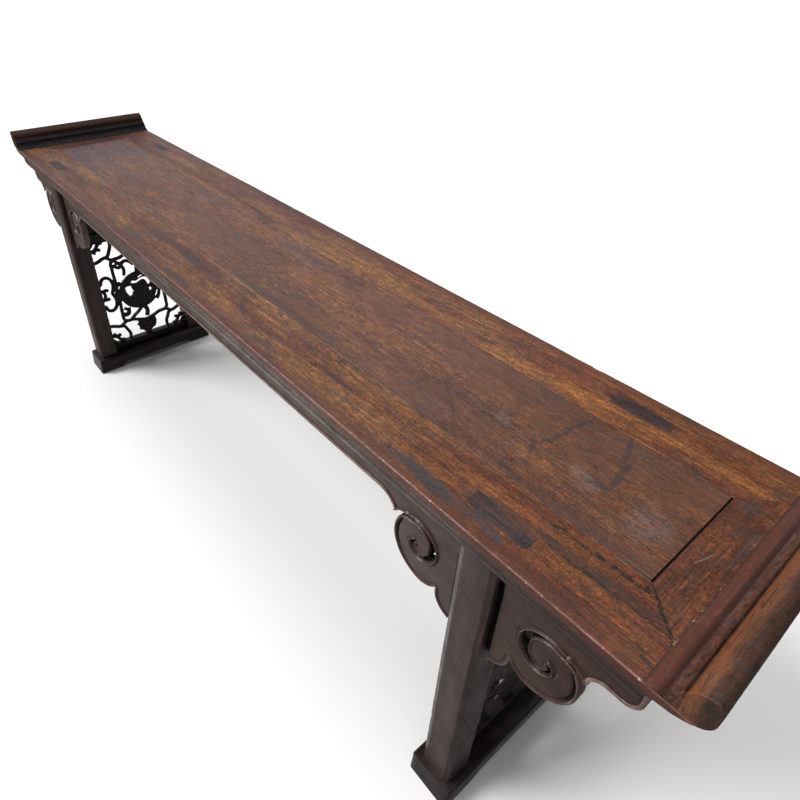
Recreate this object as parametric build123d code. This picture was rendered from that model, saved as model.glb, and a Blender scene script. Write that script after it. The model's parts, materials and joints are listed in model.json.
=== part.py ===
"""Trestle altar table with everted ends, built piece by piece as a joiner would.

Millimetres, +Z up.  X runs along the table, Y across it with the front at -Y, and
the origin is on the floor under the middle of the top.  The top is a mitred frame
round one floating panel on dovetailed battens.  Four recessed legs are slotted for
the aprons and cloud spandrels, stand on two foot runners, and hold an openwork
panel between stretchers at each end.
"""
from build123d import *
import os

# ---- overall ----------------------------------------------------------------
table_length = 2756.0        # over the lips of the everted flanges
table_depth = 514.0          # over the long rails of the top
surface_height = 880.0       # flat working surface above the floor
fit = 0.3                    # clearance round every tenon, tongue and inlay

# ---- top frame --------------------------------------------------------------
frame_thickness = 60.0
rail_width = 135.0           # long rails, front and back
end_rail_width = 77.0        # end rails, from the panel to the moulded edge
flange_overhang = 66.0       # lip of the flange beyond the moulded edge
flange_inset = 15.0          # foot of the flange inside the moulded edge
shelf_thickness = 14.0       # tapered shelf of the frame that carries the flange
shelf_reach = 50.0           # shelf beyond the moulded edge

# ---- edge moulding: how far in from the edge, how far down from the top -------
arris = 3.5                  # rounded upper corner
band_drop = 16.0             # upper band of the moulding
fillet_inset = 3.0           # little step under the band
fillet_drop = 21.0
cove_inset = 8.5             # hollow below the step
cove_drop = 37.0
torus_inset = 13.0           # soft lower roll
torus_drop = 54.0
foot_inset = 16.5            # underside of the frame

# ---- corner joints: stub tenon of a long rail in the end rail -------------------
corner_tenon_root = 13.5     # from the panel to the side of the tenon
corner_tenon_width = 40.0
corner_tenon_rise = 16.0     # above the underside of the frame
corner_tenon_thickness = 13.0
corner_tenon_cover = 17.0    # wood left between the tip and the moulded edge
mitre_run = 20.0             # how far the 45 degree cut is drawn past the rail

# ---- panel and battens --------------------------------------------------------
panel_thickness = 18.0
panel_end_gap = 3.0          # open shrinkage gap at each end of the panel
panel_side_gap = 0.4
tongue_thickness = 7.0
tongue_length = 9.0
groove_slack = 1.0           # room beyond the tip of the tongue
batten_width = 42.0
batten_rise = 6.0            # underside of the battens above the underside of the frame
batten_count = 7
dovetail_depth = 5.0
dovetail_neck = 26.0
dovetail_flare = 32.0
batten_tenon_length = 22.0
batten_tenon_width = 24.0
batten_tenon_height = 16.0

# ---- flanges ------------------------------------------------------------------
flange_height = 58.0
cove_width = 26.0            # hollow at the foot of the flange
cove_rise = 23.0
cove_point = (16.5, 8.0)     # lowest part of the hollow, from the foot
bead_width = 12.0            # roll above the hollow
bead_rise = 15.0
bead_point = (7.5, 5.5)
quirk_width = 3.0            # groove behind the roll
quirk_drop = 2.0
lip_radius = 12.0            # rounded lip
lip_roll = 26.0              # height at which the outer face starts to turn under
flange_tongue_inset = 18.0   # tongue under the flange, from its foot
flange_tongue_width = 12.0
flange_tongue_depth = 7.0
flange_tongue_half = 190.0   # half length of the tongue

# ---- legs -----------------------------------------------------------------------
leg_inset = 344.0            # leg centre inside the lip of the flange
leg_width = 76.0
leg_depth = 69.0
leg_setback = 18.0           # front of the leg behind the edge of the top
bevel_width = 11.0           # shallow worn bevel down both outer corners
bevel_depth = 5.0
leg_tenon_width = 50.0
front_tenon_thickness = 12.0
front_tenon_height = 30.0
rear_tenon_thickness = 18.0
foot_tenon_length = 34.0
foot_tenon_width = 36.0
foot_tenon_depth = 34.0
plug_length = 118.0          # inlaid cover over each leg mortise
plug_width = 34.0
plug_thickness = 9.0
plug_offset = 27.5           # middle of the cover in front of the back of the leg

# ---- aprons and spandrels ---------------------------------------------------------
board_thickness = 18.0
board_setback = 18.0         # face of the apron behind the face of the leg
tongue_layer = 8.0           # thin rear layer that passes into the leg slot
flute_width = 12.0           # open vertical flute beside each leg
apron_depth = 58.0           # apron below the frame at mid span
joint_depth = 52.0           # spandrel top below the frame
cusp_depth = 85.0            # tips that drop beside the cloud spandrels
swell_width = 38.0           # curve of the apron that leads to a tip
swell_drop = 9.0
end_swell_width = 28.0       # the same on the short outer bays
end_swell_drop = 7.0
apron_end_inset = 2.0        # apron end inside the moulded edge of the top
apron_corner = 28.0          # rounded lower corner at the ends
apron_tongue = 6.0           # tongue of the apron in the rail above
end_board_thickness = 18.0
end_board_depth = 28.0
end_stub_inset = 5.0         # stub tenon inside the faces of the end board
end_stub_depth = 7.0

# ---- outline of a spandrel: reach from the leg centre, drop below the frame ---------------
spandrel_height = 237.0      # lowest point of the toe beside the flute
cusp_reach = 202.0           # tip next to the apron's own tip
nick_reach = 172.0           # top of the wedge between tip and cloud
nick_drop = 69.0
nick_curve = (186.0, 75.5)
cloud_reach = 200.0          # widest point of the big cloud lobe
cloud_drop = 131.0
lobe_reach = 129.0           # lowest point of the lobe
lobe_drop = 209.0
lobe_curve = (105.0, 204.5)
notch_reach = 48.0           # notch above the toe, from the side of the leg
notch_drop = 188.0
toe_reach = 13.0             # toe, from the side of the leg
toe_curve = (39.5, 220.0)
eye_reach = 138.0            # middle of the scroll
eye_drop = 122.0
crescent_tip = (12.0, 48.0)  # pierced crescent, from the middle of the scroll
crescent_tail = (-36.0, -12.0)
crescent_outer = (-29.0, 41.0)
crescent_inner = (-22.0, 33.0)

# ---- trestles --------------------------------------------------------------------
foot_length = 512.0
foot_width = 114.0
foot_height = 64.0
foot_relief = 14.0           # raised underside between the pads
foot_pad = 98.0              # length of each pad
foot_ramp = 28.0             # ogee from a pad to the raised underside
foot_slope = 4.0             # how much the ends lean inwards
foot_round = 6.0
stretcher_width = 32.0
lower_stretcher_height = 29.0
upper_stretcher_height = 40.0
stretcher_tenon = 22.0
stretcher_tenon_width = 14.0
opening_height = 470.0       # height of the openwork between the stretchers
carving_thickness = 14.0
groove_depth = 7.0           # edge of the carving in legs and stretchers
tenon_shoulder = 1.0         # wood between that groove and a stretcher's tenon
cross_board_thickness = 14.0

# ---- openwork pattern, drawn on a field of this size and fitted to the opening ------
field_width = 336.0
field_height = 470.0
strand = 8.0                 # width of the carved strands
roundel_radius = 86.0

# ---- worked out from the above -------------------------------------------------------
half_length = table_length / 2
half_depth = table_depth / 2
frame_bottom = surface_height - frame_thickness
frame_half = half_length - flange_overhang
opening_x = frame_half - end_rail_width
opening_y = half_depth - rail_width
panel_bottom = surface_height - panel_thickness
leg_x = half_length - leg_inset
leg_front = half_depth - leg_setback
leg_back = leg_front - leg_depth
leg_y = (leg_front + leg_back) / 2
board_front = leg_front - board_setback
board_back = board_front - board_thickness
layer_front = board_back + tongue_layer
apron_bottom = frame_bottom - apron_depth
joint_z = frame_bottom - joint_depth
cusp_z = frame_bottom - cusp_depth
spandrel_bottom = frame_bottom - spandrel_height
apron_half = frame_half - apron_end_inset
lower_top = foot_height + lower_stretcher_height
upper_bottom = lower_top + opening_height
upper_top = upper_bottom + upper_stretcher_height
batten_pitch = 2 * leg_x / (batten_count - 1)
batten_bottom = frame_bottom + batten_rise
batten_depth = panel_bottom - batten_bottom
leg_side = leg_x + leg_width / 2
flute_edge = leg_side + flute_width
shelf_edge = frame_half + shelf_reach
flange_foot = frame_half - flange_inset
opening_half = leg_back      # half width of the opening between the legs
pattern_z = (lower_top + upper_bottom) / 2
stretch_y = 2 * opening_half / field_width
stretch_z = opening_height / field_height


def block(x0, x1, y0, y1, z0, z1):
    """A plain block between two corners."""
    return Pos((x0 + x1) / 2, (y0 + y1) / 2, (z0 + z1) / 2) * Box(x1 - x0, y1 - y0, z1 - z0)


def along_x(face, x0, x1):
    """Carry a face drawn as (Y, Z) from x0 to x1."""
    plane = Plane(origin=(x0, 0, 0), x_dir=(0, 1, 0), z_dir=(1, 0, 0))
    return extrude(plane * face, amount=x1 - x0, dir=(1, 0, 0))


def along_y(face, y0, y1):
    """Carry a face drawn as (X, Z) from y0 to y1."""
    plane = Plane(origin=(0, y0, 0), x_dir=(1, 0, 0), z_dir=(0, -1, 0))
    return extrude(plane * face, amount=y1 - y0, dir=(0, 1, 0))


def flip_x(part):
    return mirror(part, about=Plane.YZ)


def flip_y(part):
    return mirror(part, about=Plane.XZ)


# ---- top frame ------------------------------------------------------------------------
def lower_moulding(edge):
    """Step, hollow and roll below the upper band, for an edge at the given distance."""
    top = surface_height
    step = (edge - fillet_inset, top - fillet_drop)
    hollow_end = (edge - cove_inset, top - cove_drop)
    hollow = (edge - cove_inset + 1, (step[1] + hollow_end[1]) / 2)
    roll_end = (edge - torus_inset, top - torus_drop)
    roll = (edge - cove_inset - 0.8, (hollow_end[1] + roll_end[1]) / 2)
    return [
        Line((edge - fillet_inset, top - band_drop), step),
        ThreePointArc(step, hollow, hollow_end),
        ThreePointArc(hollow_end, roll, roll_end),
        Line(roll_end, (edge - foot_inset, frame_bottom)),
    ]


def section(half_edges, top_reach, bottom_reach):
    """Close a right-hand profile with its mirror image into one face."""
    other = [mirror(edge, about=Plane.YZ) for edge in half_edges]
    top_line = Line((-top_reach, surface_height), (top_reach, surface_height))
    bottom_line = Line((-bottom_reach, frame_bottom), (bottom_reach, frame_bottom))
    return make_face([*half_edges, *other, top_line, bottom_line])


def frame_form():
    """The whole outside of the top: long section crossed with end section."""
    top = surface_height
    corner = arris * (1 - 0.5 ** 0.5)
    front = [
        ThreePointArc(
            (half_depth - arris, top), (half_depth - corner, top - corner), (half_depth, top - arris)
        ),
        Line((half_depth, top - arris), (half_depth, top - band_drop)),
        Line((half_depth, top - band_drop), (half_depth - fillet_inset, top - band_drop)),
        *lower_moulding(half_depth),
    ]
    end = [
        ThreePointArc(
            (shelf_edge, top),
            (frame_half + shelf_reach * 0.56, top - shelf_thickness * 0.8),
            (frame_half, top - band_drop),
        ),
        Line((frame_half, top - band_drop), (frame_half - fillet_inset, top - band_drop)),
        *lower_moulding(frame_half),
    ]
    long_form = along_x(
        section(front, half_depth - arris, half_depth - foot_inset), -half_length, half_length
    )
    end_form = along_y(section(end, shelf_edge, frame_half - foot_inset), -half_depth, half_depth)
    return long_form & end_form


def panel_groove():
    """Groove for the panel tongue, right round the inside of the frame."""
    reach = tongue_length + groove_slack
    return block(
        -opening_x - reach, opening_x + reach, -opening_y - reach, opening_y + reach,
        panel_bottom, panel_bottom + tongue_thickness + fit,
    )


def corner_tenon(gap):
    """Tenon of the front long rail in the end rail, right-hand front corner."""
    near = -opening_y - corner_tenon_root
    low = frame_bottom + corner_tenon_rise
    return block(
        opening_x, frame_half - corner_tenon_cover + gap,
        near - corner_tenon_width - gap, near + gap,
        low - gap, low + corner_tenon_thickness + gap,
    )


def rail_wedge():
    """Plan shape of the front long rail, cut at 45 degrees from the panel corners."""
    reach = rail_width + mitre_run
    plan = make_face(Polyline(
        (-opening_x, -opening_y), (opening_x, -opening_y),
        (opening_x + reach, -opening_y - reach), (-opening_x - reach, -opening_y - reach),
        close=True,
    ))
    return extrude(Pos(0, 0, frame_bottom - 1) * plan, amount=frame_thickness + 2)


def plug(x_centre, gap):
    """Inlaid cover over one front leg mortise."""
    middle = -(leg_back + plug_offset)
    return block(
        x_centre - plug_length / 2 - gap, x_centre + plug_length / 2 + gap,
        middle - plug_width / 2 - gap, middle + plug_width / 2 + gap,
        surface_height - plug_thickness, surface_height + gap,
    )


def front_tenon(gap):
    """Short tenon on the part of a front leg that stands before the slot."""
    mid = -(layer_front + leg_front) / 2
    return block(
        leg_x - leg_tenon_width / 2 - gap, leg_x + leg_tenon_width / 2 + gap,
        mid - front_tenon_thickness / 2 - gap, mid + front_tenon_thickness / 2 + gap,
        frame_bottom - gap, frame_bottom + front_tenon_height + gap,
    )


def rear_tenon(gap):
    """Tall tenon behind the slot, up to the inlaid cover."""
    mid = -(board_back + leg_back) / 2
    return block(
        leg_x - leg_tenon_width / 2 - gap, leg_x + leg_tenon_width / 2 + gap,
        mid - rear_tenon_thickness / 2 - gap, mid + rear_tenon_thickness / 2 + gap,
        frame_bottom - gap, surface_height - plug_thickness,
    )


def batten_positions():
    first = -batten_pitch * (batten_count - 1) / 2
    return [first + batten_pitch * step for step in range(batten_count)]


def batten_tenon(x_centre, gap):
    """Stub tenons at both ends of a batten, in the long rails."""
    reach = opening_y + batten_tenon_length + gap
    low = batten_bottom + (batten_depth - batten_tenon_height) / 2
    return block(
        x_centre - batten_tenon_width / 2 - gap, x_centre + batten_tenon_width / 2 + gap,
        -reach, reach, low - gap, low + batten_tenon_height + gap,
    )


def apron_tongue_block(gap):
    """Tongue along the top of the front apron, in the rail above it."""
    reach = apron_half - apron_corner
    return block(
        -reach - gap, reach + gap, -layer_front - gap, -board_back + gap,
        frame_bottom - gap, frame_bottom + apron_tongue + gap,
    )


def front_rail(form):
    rail = form & rail_wedge()
    rail -= panel_groove()
    rail += corner_tenon(0)
    rail += flip_x(corner_tenon(0))
    for x_centre in (leg_x, -leg_x):
        rail -= plug(x_centre, fit)
    for cut in (front_tenon(fit), rear_tenon(fit)):
        rail -= cut
        rail -= flip_x(cut)
    for x_centre in batten_positions():
        rail -= batten_tenon(x_centre, fit)
    rail -= apron_tongue_block(fit)
    return rail


def flange_tongue(gap):
    middle = flange_foot + flange_tongue_inset + flange_tongue_width / 2
    return block(
        middle - flange_tongue_width / 2 - gap, middle + flange_tongue_width / 2 + gap,
        -flange_tongue_half - gap, flange_tongue_half + gap,
        surface_height - flange_tongue_depth - gap, surface_height + gap,
    )


def end_rail(form):
    """Right-hand end rail between the mitres, with the shelf that carries the flange."""
    wedge = rail_wedge() + flip_y(rail_wedge())
    rail = (form & block(opening_x, half_length, -half_depth, half_depth, 0, surface_height)) - wedge
    rail -= panel_groove()
    mortise = corner_tenon(fit)
    rail -= mortise
    rail -= flip_y(mortise)
    rail -= flange_tongue(fit)
    return rail


def flange():
    """Right-hand everted flange: cove, bead, groove and rolled outer lip."""
    foot = (flange_foot, surface_height)
    hollow = (foot[0] + cove_point[0], foot[1] + cove_point[1])
    bead_low = (foot[0] + cove_width, foot[1] + cove_rise)
    bead_mid = (bead_low[0] + bead_point[0], bead_low[1] + bead_point[1])
    bead_high = (bead_low[0] + bead_width, bead_low[1] + bead_rise)
    quirk = (bead_high[0] + quirk_width, bead_high[1] - quirk_drop)
    top = surface_height + flange_height
    crown = (half_length - lip_radius, top)
    lip = (half_length, top - lip_radius)
    turn = (half_length, surface_height + lip_roll)
    shelf = (shelf_edge, surface_height)
    profile = make_face([
        ThreePointArc(foot, hollow, bead_low),
        ThreePointArc(bead_low, bead_mid, bead_high),
        Line(bead_high, quirk),
        TangentArc(crown, quirk, tangent=(-1, 0)),
        RadiusArc(crown, lip, lip_radius),
        Line(lip, turn),
        TangentArc(turn, shelf, tangent=(0, -1)),
        Line(shelf, foot),
    ])
    return along_y(profile, -half_depth, half_depth) + flange_tongue(0)


# ---- panel and battens -----------------------------------------------------------------
def dovetail(x_centre, gap, y_reach):
    """Dovetailed key on top of a batten, or its trench in the panel."""
    neck = dovetail_neck / 2 + gap
    flare = dovetail_flare / 2 + gap
    key = make_face(Polyline(
        (x_centre - neck, panel_bottom), (x_centre + neck, panel_bottom),
        (x_centre + flare, panel_bottom + dovetail_depth + gap),
        (x_centre - flare, panel_bottom + dovetail_depth + gap), close=True,
    ))
    return along_y(key, -y_reach, y_reach)


def panel():
    half_x = opening_x - panel_end_gap
    half_y = opening_y - panel_side_gap
    board = block(-half_x, half_x, -half_y, half_y, panel_bottom, surface_height)
    board += block(
        -opening_x - tongue_length, opening_x + tongue_length,
        -opening_y - tongue_length, opening_y + tongue_length,
        panel_bottom, panel_bottom + tongue_thickness,
    )
    for x_centre in batten_positions():
        board -= dovetail(x_centre, fit, half_depth)
    return board


def batten(x_centre):
    body = block(
        x_centre - batten_width / 2, x_centre + batten_width / 2,
        -opening_y, opening_y, batten_bottom, panel_bottom,
    )
    return body + dovetail(x_centre, 0, opening_y) + batten_tenon(x_centre, 0)


# ---- aprons, spandrels and end boards ------------------------------------------------------
def front_apron():
    """Long apron with a cusped tip beside every cloud spandrel."""
    inner_tip = leg_x - cusp_reach
    outer_tip = leg_x + cusp_reach
    inner_start = (inner_tip - swell_width, apron_bottom)
    inner_curve = (inner_start[0] + swell_width * 0.63, apron_bottom - swell_drop)
    outer_end = (outer_tip + end_swell_width, apron_bottom)
    outer_curve = (outer_tip + end_swell_width * 0.32, apron_bottom - end_swell_drop)
    corner_start = (apron_half - apron_corner, apron_bottom)
    corner_end = (apron_half, apron_bottom + apron_corner)
    half = [
        Line((0, apron_bottom), inner_start),
        ThreePointArc(inner_start, inner_curve, (inner_tip, cusp_z)),
        Line((inner_tip, cusp_z), (inner_tip, joint_z)),
        Line((inner_tip, joint_z), (outer_tip, joint_z)),
        Line((outer_tip, joint_z), (outer_tip, cusp_z)),
        ThreePointArc((outer_tip, cusp_z), outer_curve, outer_end),
        Line(outer_end, corner_start),
        RadiusArc(corner_start, corner_end, apron_corner),
        Line(corner_end, (apron_half, frame_bottom)),
    ]
    other = [mirror(edge, about=Plane.YZ) for edge in half]
    top_line = Line((-apron_half, frame_bottom), (apron_half, frame_bottom))
    board = along_y(make_face([*half, *other, top_line]), -board_front, -board_back)
    thin = leg_width / 2 + flute_width
    for x_centre in (leg_x, -leg_x):
        board -= block(
            x_centre - thin, x_centre + thin, -board_front, -layer_front, joint_z, frame_bottom
        )
    board += apron_tongue_block(0)
    for cut in (end_tenon(fit), flip_x(end_tenon(fit))):
        board -= cut
    return board


def end_tenon(gap):
    """Stub of the right-hand end board in the inner face of the front apron."""
    inner = apron_half - end_board_thickness + end_stub_inset
    low = frame_bottom - end_board_depth + end_stub_inset
    return block(
        inner - gap, apron_half - end_stub_inset + gap,
        -board_back - end_stub_depth - gap, -board_back,
        low - gap, frame_bottom - end_stub_inset + gap,
    )


def end_board():
    """Short board that closes the right-hand end between the two aprons."""
    low = frame_bottom - end_board_depth
    board = block(
        apron_half - end_board_thickness, apron_half, -board_back, board_back, low, frame_bottom
    )
    stub = end_tenon(0)
    return board + stub + flip_y(stub)


def hung(reach, drop):
    """A point of the spandrel, from the centre of the leg and the underside of the frame."""
    return (leg_x + reach, frame_bottom - drop)


def spandrel():
    """Cloud spandrel on the outer side of the right-hand front leg."""
    tip = hung(cusp_reach, cusp_depth)
    nick = hung(nick_reach, nick_drop)
    lobe = hung(lobe_reach, lobe_drop)
    notch = (leg_side + notch_reach, frame_bottom - notch_drop)
    toe_middle = (leg_side + toe_curve[0], frame_bottom - toe_curve[1])
    toe = (leg_side + toe_reach, spandrel_bottom)
    seam = leg_x + fit / 2
    outline = make_face([
        Line((seam, joint_z), (tip[0], joint_z)),
        Line((tip[0], joint_z), tip),
        ThreePointArc(tip, hung(*nick_curve), nick),
        ThreePointArc(nick, hung(cloud_reach, cloud_drop), lobe),
        ThreePointArc(lobe, hung(*lobe_curve), notch),
        ThreePointArc(notch, toe_middle, toe),
        Line(toe, (seam, spandrel_bottom)),
        Line((seam, spandrel_bottom), (seam, joint_z)),
    ])
    board = along_y(outline, -board_front, -board_back)
    board -= along_y(scroll_piercing(), -board_front, -board_back)
    return board - block(
        leg_x, flute_edge, -board_front, -layer_front, spandrel_bottom, joint_z
    )


def scroll_piercing():
    """Crescent pierced between the scroll and its border."""
    eye = hung(eye_reach, eye_drop)
    tip, tail, outer, inner = [
        (eye[0] + point[0], eye[1] + point[1])
        for point in (crescent_tip, crescent_tail, crescent_outer, crescent_inner)
    ]
    return make_face([ThreePointArc(tip, outer, tail), ThreePointArc(tail, inner, tip)])


# ---- legs --------------------------------------------------------------------------------
def leg():
    """Right-hand front leg, slotted for the boards and tenoned at both ends."""
    half = leg_width / 2
    flat = half - bevel_width
    bevel = -leg_front + bevel_depth
    plan = make_face(Polyline(
        (leg_x - half, -leg_back), (leg_x - half, bevel), (leg_x - flat, -leg_front),
        (leg_x + flat, -leg_front), (leg_x + half, bevel), (leg_x + half, -leg_back), close=True,
    ))
    post = extrude(Pos(0, 0, foot_height) * plan, amount=frame_bottom - foot_height)
    post -= block(
        leg_x - half, leg_x + half, -layer_front - fit / 2, -board_back + fit / 2,
        spandrel_bottom - fit, frame_bottom,
    )
    post += front_tenon(0) + rear_tenon(0) + foot_tenon(0)
    post -= stretcher_tenons(lower_top - lower_stretcher_height, lower_stretcher_height, fit)
    post -= stretcher_tenons(upper_bottom, upper_stretcher_height, fit)
    post -= carving_edge(fit / 2)
    post -= cross_board(fit / 2)
    return post


def foot_tenon(gap):
    """Tenon of the right-hand front leg in the foot runner."""
    return block(
        leg_x - foot_tenon_width / 2 - gap, leg_x + foot_tenon_width / 2 + gap,
        -leg_y - foot_tenon_depth / 2 - gap, -leg_y + foot_tenon_depth / 2 + gap,
        foot_height - foot_tenon_length - gap, foot_height + gap,
    )


# ---- trestle ends --------------------------------------------------------------------------
def foot():
    """Right-hand foot runner with a raised underside between its two pads."""
    half = foot_length / 2
    pad = half - foot_pad
    arch = pad - foot_ramp
    top = half - foot_slope
    steep = (pad - foot_ramp * 0.35, foot_relief * 0.75)
    side = make_face([
        Line((-half, 0), (-pad, 0)),
        ThreePointArc((-pad, 0), (-steep[0], steep[1]), (-arch, foot_relief)),
        Line((-arch, foot_relief), (arch, foot_relief)),
        ThreePointArc((arch, foot_relief), steep, (pad, 0)),
        Line((pad, 0), (half, 0)),
        Line((half, 0), (top, foot_height)),
        Line((top, foot_height), (-top, foot_height)),
        Line((-top, foot_height), (-half, 0)),
    ])
    runner = along_x(side, leg_x - foot_width / 2, leg_x + foot_width / 2)
    runner = fillet(runner.edges().filter_by(GeomType.LINE).group_by(Axis.Z)[-1], foot_round)
    tenon = foot_tenon(fit)
    return runner - tenon - flip_y(tenon)


def stretcher_tenons(bottom, height, gap):
    """Both tenons of a right-hand stretcher, from leg to leg."""
    reach = opening_half + stretcher_tenon + gap
    shoulder = groove_depth + tenon_shoulder
    return block(
        leg_x - stretcher_tenon_width / 2 - gap, leg_x + stretcher_tenon_width / 2 + gap,
        -reach, reach, bottom + shoulder - gap, bottom + height - shoulder + gap,
    )


def stretcher(bottom, height):
    bar = block(
        leg_x - stretcher_width / 2, leg_x + stretcher_width / 2,
        -opening_half, opening_half, bottom, bottom + height,
    )
    bar -= carving_edge(fit / 2)
    bar -= cross_board(fit / 2)
    return bar + stretcher_tenons(bottom, height, 0)


def carving_edge(gap):
    """The rebated field that the carved board fills, edge strips included."""
    reach = opening_half + groove_depth
    return block(
        leg_x - carving_thickness / 2 - gap, leg_x + carving_thickness / 2 + gap,
        -reach - gap, reach + gap,
        lower_top - groove_depth - gap, upper_bottom + groove_depth + gap,
    )


def cross_board(gap):
    """Plain board between the upper stretcher and the top, housed in the legs."""
    reach = opening_half + groove_depth
    return block(
        leg_x - cross_board_thickness / 2 - gap, leg_x + cross_board_thickness / 2 + gap,
        -reach - gap, reach + gap, upper_top - groove_depth - gap, frame_bottom,
    )


# ---- openwork ----------------------------------------------------------------------------
def spot(y, z):
    """A point of the pattern, measured from its middle, fitted to the real opening."""
    return (y * stretch_y, z * stretch_z)


def band(width, *points):
    """A carved strand of even width with pointed ends, in short facets along a smooth line."""
    places = [Vector(*spot(*point)) for point in points]
    path = Spline(*places) if len(places) > 2 else Line(*places)
    count = len(places)
    half = width * (stretch_y + stretch_z) / 4
    left = []
    right = []
    for step in range(count):
        share = step / (count - 1)
        tangent = path % share
        side = Vector(-tangent.Y, tangent.X) * half
        left.append(path @ share + side)
        right.append(path @ share - side)
    start_tip = path @ 0 - (path % 0) * half
    end_tip = path @ 1 + (path % 1) * half
    right.reverse()
    return make_face(Polyline(*left, end_tip, *right, start_tip, close=True))


def corner_cloud():
    """Ruyi cloud in the lower left corner of the field, in whole-field coordinates."""
    return [
        band(strand, (-172, -149), (-150, -151), (-125, -161), (-104, -166), (-93, -186),
             (-84, -210), (-88, -239)),
        band(strand, (-112, -165), (-101, -153), (-90, -147)),
        band(strand, (-172, -199), (-155, -201), (-143, -207), (-128, -226), (-112, -230)),
        band(strand * 0.9, (-152, -188), (-144, -203), (-124, -200)),
        band(strand, (-172, -217), (-160, -222), (-150, -240)),
    ]


def side_cloud():
    """Bracket cloud half way up the left side, upper and lower lobes with a waist."""
    upper = [
        band(strand, (-172, 46), (-157, 53), (-150, 70), (-134, 77), (-118, 68), (-110, 48),
             (-110, 28), (-119, 0)),
        band(strand, (-172, 24), (-156, 20), (-147, 0)),
        band(strand * 0.8, (-153, 18), (-143, 22), (-132, 18)),
    ]
    lower = [mirror(face, about=Plane.XZ) for face in upper]
    return upper + lower


def cartouche():
    """Left half of the tall cusped frame round the roundel."""
    lower = [
        band(strand, (-97, 0), (-96, -40), (-98, -110), (-96, -136), (-84, -146), (-60, -148),
             (-34, -158), (-12, -164)),
        band(strand * 0.9, (-109, -6), (-98, -14)),
    ]
    upper = [mirror(face, about=Plane.XZ) for face in lower]
    return lower + upper


def roundel():
    """Coiled roundel with pierced eyes, leafy curls at its foot and head."""
    ring = Pos(*spot(-5, -17)) * Ellipse(roundel_radius * stretch_y, roundel_radius * stretch_z)
    holes = [
        band(13, (-50, 2), (-46, -14), (-40, -30)),
        band(12, (-34, 20), (-14, 12), (2, 22), (22, 24), (28, 6)),
        band(6, (38, -22), (42, -34)),
        band(8, (60, -50), (66, -66)),
        band(5, (4, 38), (16, 40)),
        band(7, (-62, -62), (-40, -84), (-20, -94)),
        band(6, (30, -80), (48, -68)),
        band(5, (-70, 20), (-62, 36), (-48, 46)),
    ]
    disc = ring
    for hole in holes:
        disc -= hole
    curls = [
        band(strand, (-92, -86), (-78, -92), (-58, -96), (-38, -112), (-24, -124)),
        band(strand, (-70, -106), (-52, -104), (-36, -118), (-48, -130)),
        band(strand * 0.9, (-92, -118), (-76, -112), (-62, -102)),
        band(16, (0, -98), (6, -128), (2, -150)),
        band(strand, (62, -84), (72, -66), (78, -40)),
        band(strand, (-88, 148), (-74, 126), (-62, 112), (-56, 92), (-58, 66)),
        band(strand, (-80, 118), (-66, 126), (-50, 128)),
        band(strand, (78, 40), (88, 30), (98, 28)),
        band(strand, (-78, 40), (-88, 30), (-98, 28)),
        band(strand, (84, 148), (70, 126), (60, 112), (54, 92), (56, 62)),
        band(14, (0, 66), (4, 110), (0, 160)),
    ]
    return [disc, *curls]


def bat():
    """Bat-like motif under the middle of the frame."""
    return [
        band(26, (-30, -182), (-6, -184), (24, -180)),
        band(16, (-40, -176), (-30, -196), (-34, -210)),
        band(14, (32, -178), (28, -196), (20, -212)),
        band(20, (-4, -160), (-2, -190), (-4, -240)),
        band(12, (-20, -200), (-14, -216), (10, -214), (18, -202)),
        band(12, (-38, -164), (-18, -172)),
        band(12, (36, -166), (18, -172)),
    ]


def openwork():
    """Right-hand carved board: hidden edge strips joined by the openwork strands."""
    half_y = opening_half
    half_z = opening_height / 2
    outer = Rectangle(2 * (half_y + groove_depth), 2 * (half_z + groove_depth))
    strips = outer - Rectangle(2 * half_y, 2 * half_z)
    clouds = corner_cloud()
    clouds += [mirror(face, about=Plane.XZ) for face in clouds]
    clouds += side_cloud() + cartouche()
    clouds += [mirror(face, about=Plane.YZ) for face in clouds]
    ornament = Sketch() + [*clouds, *roundel(), *bat()]
    top_bat = [mirror(face, about=Plane.XZ) for face in bat()]
    ornament += top_bat
    face = strips + (ornament & outer)
    board = along_x(
        Pos(0, pattern_z) * face, leg_x - carving_thickness / 2, leg_x + carving_thickness / 2
    )
    return board


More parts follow.
